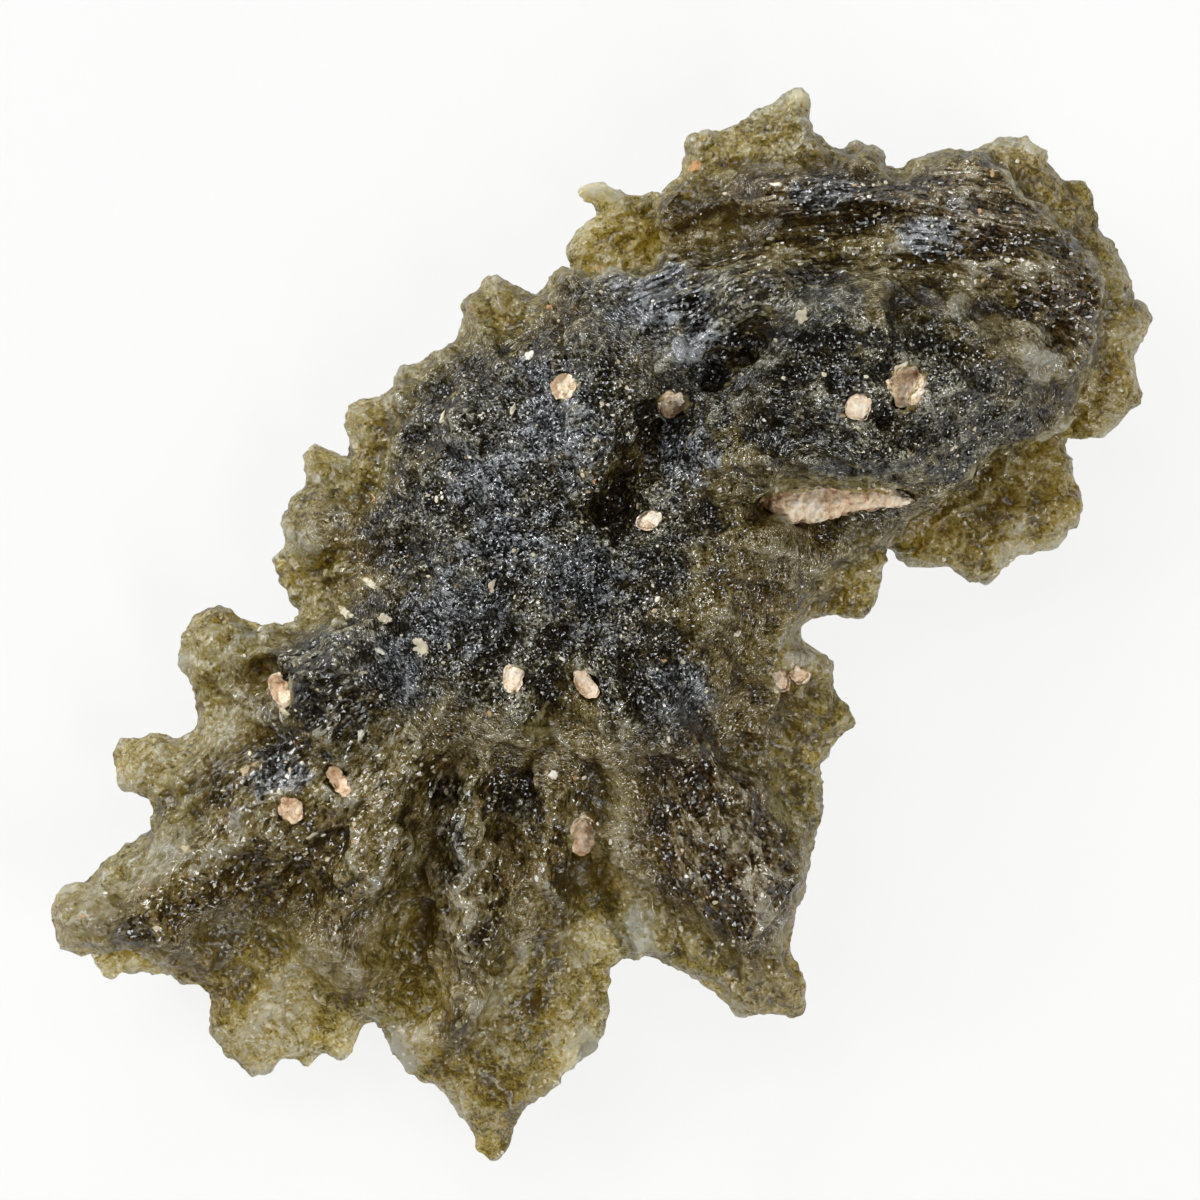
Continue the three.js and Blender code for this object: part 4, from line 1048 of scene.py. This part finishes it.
# %% Chips of soil
CHIPS = [  # x, y, length and width in millimetres on the plan, turn in degrees, tone of the soil
    (-5.3, -1.35, 0.70, 0.42, -55, 0.62),
    (-9.4, -3.3, 0.55, 0.20, -40, 0.30),
    (-7.1, -4.0, 0.42, 0.17, 80, 0.85),
    (-7.0, -2.15, 0.32, 0.12, 20, 0.25),
    (-6.5, -1.5, 0.45, 0.14, -30, 0.90),
    (-8.85, -4.85, 0.15, 0.12, 0, 1.0),
    (-6.4, -0.55, 0.50, 0.26, -20, 0.60),
    (-6.85, 0.5, 0.55, 0.26, -35, 0.80),
    (-8.55, -7.0, 0.40, 0.12, 35, 0.65),
    (-7.55, -0.4, 0.50, 0.26, -40, 0.55),
    (5.9, 8.3, 0.46, 0.40, 60, 0.60),
    (2.8, 12.9, 0.42, 0.30, 40, 0.0),
    (12.0, 10.0, 0.20, 0.14, 0, 0.95),
    (5.2, 12.3, 0.40, 0.14, -5, 0.85),
    (-3.2, 0.4, 0.46, 0.26, 70, 0.60),
    (-1.4, -5.2, 0.40, 0.26, -30, 0.90),
    (-0.75, -5.3, 0.16, 0.14, 0, 0.0),
    (-10.6, -5.1, 0.36, 0.26, 20, 0.15),
    (-12.3, -7.4, 0.36, 0.22, -35, 0.20),
    (-2.1, 7.25, 0.36, 0.22, 50, 0.95),
    (-1.5, 8.7, 0.22, 0.18, 0, 0.05),
    (1.9, -1.8, 0.18, 0.14, 0, 0.05),
    (4.1, -1.0, 0.30, 0.18, 25, 0.80),
    (-2.6, 5.6, 0.50, 0.14, 65, 0.75),
    (-4.7, 5.4, 0.44, 0.14, 75, 0.70),
]
CHIP_PROUD = 0.06 * MM  # the same measures as for the clay
CHIP_SUNK = 0.05 * MM
CHIP_RAGGED = 0.07 * MM
CHIP_OUTLINE = 0.5  # how far its outline wanders, as a share of its size
CHIP_OUTLINE_SCALE = 1.3
CHIP_OUTLINE_FRACTAL = (0.9, 2.0, 3)
CHIP_TOP_SCALE = 6.0
CHIP_TOP_FRACTAL = (0.7, 2.0, 3)
CHIP_FINENESS = 4  # which gives a ball 1,280 triangles
print("longest chip, mm:", max(length for x, y, length, width, turn, tone in CHIPS))

# %% Make the chips


def soil_chips():
    """All the chips as one mesh of closed shells, each with its tone."""
    shape = bmesh.new()
    tones = []
    for x, y, length, width, turn, tone in CHIPS:
        made = bmesh.ops.create_icosphere(shape, subdivisions=CHIP_FINENESS, radius=1.0)
        ball = made["verts"]
        turned = Matrix.Rotation(math.radians(turn), 2)
        for vertex in ball:
            unit = vertex.co.copy()
            scale = CHIP_OUTLINE_SCALE
            around = Vector((unit.x * scale + x, unit.y * scale + y, tone))
            outline = 1 + CHIP_OUTLINE * noise.fractal(around, *CHIP_OUTLINE_FRACTAL)
            flat = turned @ Vector((unit.x * length / 2, unit.y * width / 2)) * outline
            at = on_model(x + flat.x, y + flat.y)
            level = glass_height(at.x, at.y) or 0.0
            spot = Vector((at.x, at.y, 0)) / MM * CHIP_TOP_SCALE
            rough_height = noise.fractal(spot, *CHIP_TOP_FRACTAL)
            rise = CHIP_PROUD * unit.z - CHIP_SUNK * (1 - abs(unit.z))
            if unit.z > 0:
                rise += CHIP_RAGGED * rough_height
            vertex.co = (at.x, at.y, level + rise)
        tones.extend([tone] * len(ball))
    mesh = bpy.data.meshes.new("soil_chips")
    shape.to_mesh(mesh)
    shape.free()
    mesh.attributes.new("tone", "FLOAT", "POINT").data.foreach_set("value", tones)
    mesh.materials.append(soil)
    for polygon in mesh.polygons:
        polygon.use_smooth = True
    chips = bpy.data.objects.new("soil_chips", mesh)
    bpy.context.scene.collection.objects.link(chips)
    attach(chips, "root")
    return chips


chips = soil_chips()
print("chips of soil:", len(CHIPS), "with", len(chips.data.polygons), "triangles")

# %% [markdown]
# ## The floor
# The stone lies on a table that is lit from below, so that light comes up through its thin lobes
# and the table itself stays nearly white round a dark stone. A floor that gives light of its own
# does that with no lamp under it. It scatters little, so the stone leaves only a faint shadow.

# %% A glowing floor
FLOOR_HALF = 0.6
FLOOR_DROP = -0.02 * MM  # just under the stone's feet
FLOOR_GLOW = 0.835


def flat_square(name, half, z):
    """A level square round the origin."""
    mesh = bpy.data.meshes.new(name)
    corners = [(-half, -half, z), (half, -half, z), (half, half, z), (-half, half, z)]
    mesh.from_pydata(corners, [], [(0, 1, 2, 3)])
    obj = bpy.data.objects.new(name, mesh)
    bpy.context.scene.collection.objects.link(obj)
    return obj


floor = flat_square("floor", FLOOR_HALF, FLOOR_DROP)
floor_material, floor_tree = new_material("pale_floor")
floor_finish = {
    "Base Color": (0.09, 0.09, 0.088, 1),
    "Roughness": 0.9,
    "Emission Color": (1, 1, 0.99, 1),
    "Emission Strength": FLOOR_GLOW,
}
floor_shader = add_node(floor_tree, "ShaderNodeBsdfPrincipled", None, floor_finish)
add_node(floor_tree, "ShaderNodeOutputMaterial", None, {"Surface": floor_shader.outputs[0]})
floor_material.cycles.emission_sampling = "NONE"
floor.data.materials.append(floor_material)
print("floor, metres across:", 2 * FLOOR_HALF)

# %% [markdown]
# ## Light
# Etched glass shows by what it mirrors. One even light would turn every facet the same grey, so
# the stone stands in a tent of small panels: most are dark, some are soft, and one in twenty is
# bright. Each tiny facet then mirrors a panel of its own. A softbox at the upper left gives the
# whole a direction. The tent is the world's own light, because panels made as objects would need
# hundreds of lamps.

# %% A softbox


def softbox(name, place, size, power, colour):
    """A square area light that points at the middle of the stone."""
    light = bpy.data.lights.new(name, "AREA")
    light.shape = "SQUARE"
    light.size = size
    light.energy = power
    light.color = colour
    obj = bpy.data.objects.new(name, light)
    obj.location = place
    obj.rotation_euler = (-Vector(place)).to_track_quat("-Z", "Y").to_euler()
    bpy.context.scene.collection.objects.link(obj)


up_left = on_model(-160, 160)
KEY_HEIGHT = 0.26
KEY_SIZE = 0.20
KEY_WATTS = 0.55
KEY_COLOUR = (0.92, 0.96, 1.0)
softbox("key", (up_left.x, up_left.y, KEY_HEIGHT), KEY_SIZE, KEY_WATTS, KEY_COLOUR)
print("watts of the softbox:", KEY_WATTS)

# %% A light tent
PANELS = 5.0  # panels over a unit of direction
SOFT_PANELS = (0.70, 0.72, 0.02, 0.40)  # panels past this chance give a little light
BRIGHT_PANELS = (0.945, 0.95, 0.0, 15.0)  # and those past this one a lot
TENT_STARTS = (0.15, 0.22)  # how high the tent's lower edge is, as a share of straight up
LOW_LIGHT = 0.85  # the even light below that edge
TENT_COLOUR = (0.96, 0.98, 1.0)
TENT_MAP = 256  # how finely the renderer maps where the bright panels are
world = bpy.data.worlds.new("studio")
world.use_nodes = True
world.cycles.sampling_method = "MANUAL"
world.cycles.sample_map_resolution = TENT_MAP
sky = world.node_tree
direction = add_node(sky, "ShaderNodeTexCoord").outputs["Generated"]
height = add_node(sky, "ShaderNodeSeparateXYZ", None, {0: direction}).outputs[2]
panel = vector_maths(sky, "FLOOR", scaled(sky, direction, PANELS))
chance = add_node(sky, "ShaderNodeTexWhiteNoise", None, {"Vector": panel}).outputs["Value"]
soft_light = remap(sky, chance, *SOFT_PANELS)
bright_light = remap(sky, chance, *BRIGHT_PANELS)
lit = maths(sky, "ADD", soft_light, bright_light)
strength = blend(sky, remap(sky, height, *TENT_STARTS), LOW_LIGHT, lit)
background = sky.nodes["Background"]
background.inputs["Color"].default_value = (*TENT_COLOUR, 1)
sky.links.new(strength, background.inputs["Strength"])
bpy.context.scene.world = world
bpy.context.scene.cycles.use_light_tree = False
bpy.context.scene.view_settings.view_transform = "Standard"
print("panels over a unit of direction:", PANELS)

# %% [markdown]
# ## Camera
# The camera looks straight down, turned like the plan. A long lens far away keeps the height of
# the relief from widening the stone, so what it shows keeps the plan's sizes.

# %% The camera
VIEW_WIDTH = 36.0 * MM
LENS_MM = 250.0
SENSOR_MM = 36.0
RIM_HEIGHT = 3.0 * MM  # where the view is exactly that wide
NEAR_CLIP = 0.01
camera_data = bpy.data.cameras.new("camera")
camera_data.lens = LENS_MM
camera_data.sensor_width = SENSOR_MM
camera = bpy.data.objects.new("camera", camera_data)
above = on_model(0, 0)
camera.location = (above.x, above.y, RIM_HEIGHT + VIEW_WIDTH * LENS_MM / SENSOR_MM)
camera.rotation_euler = (0, 0, -PLAN_TURN)
camera_data.clip_start = NEAR_CLIP
bpy.context.scene.collection.objects.link(camera)
bpy.context.scene.camera = camera
print("camera height, mm:", round(camera.location.z / MM, 1))
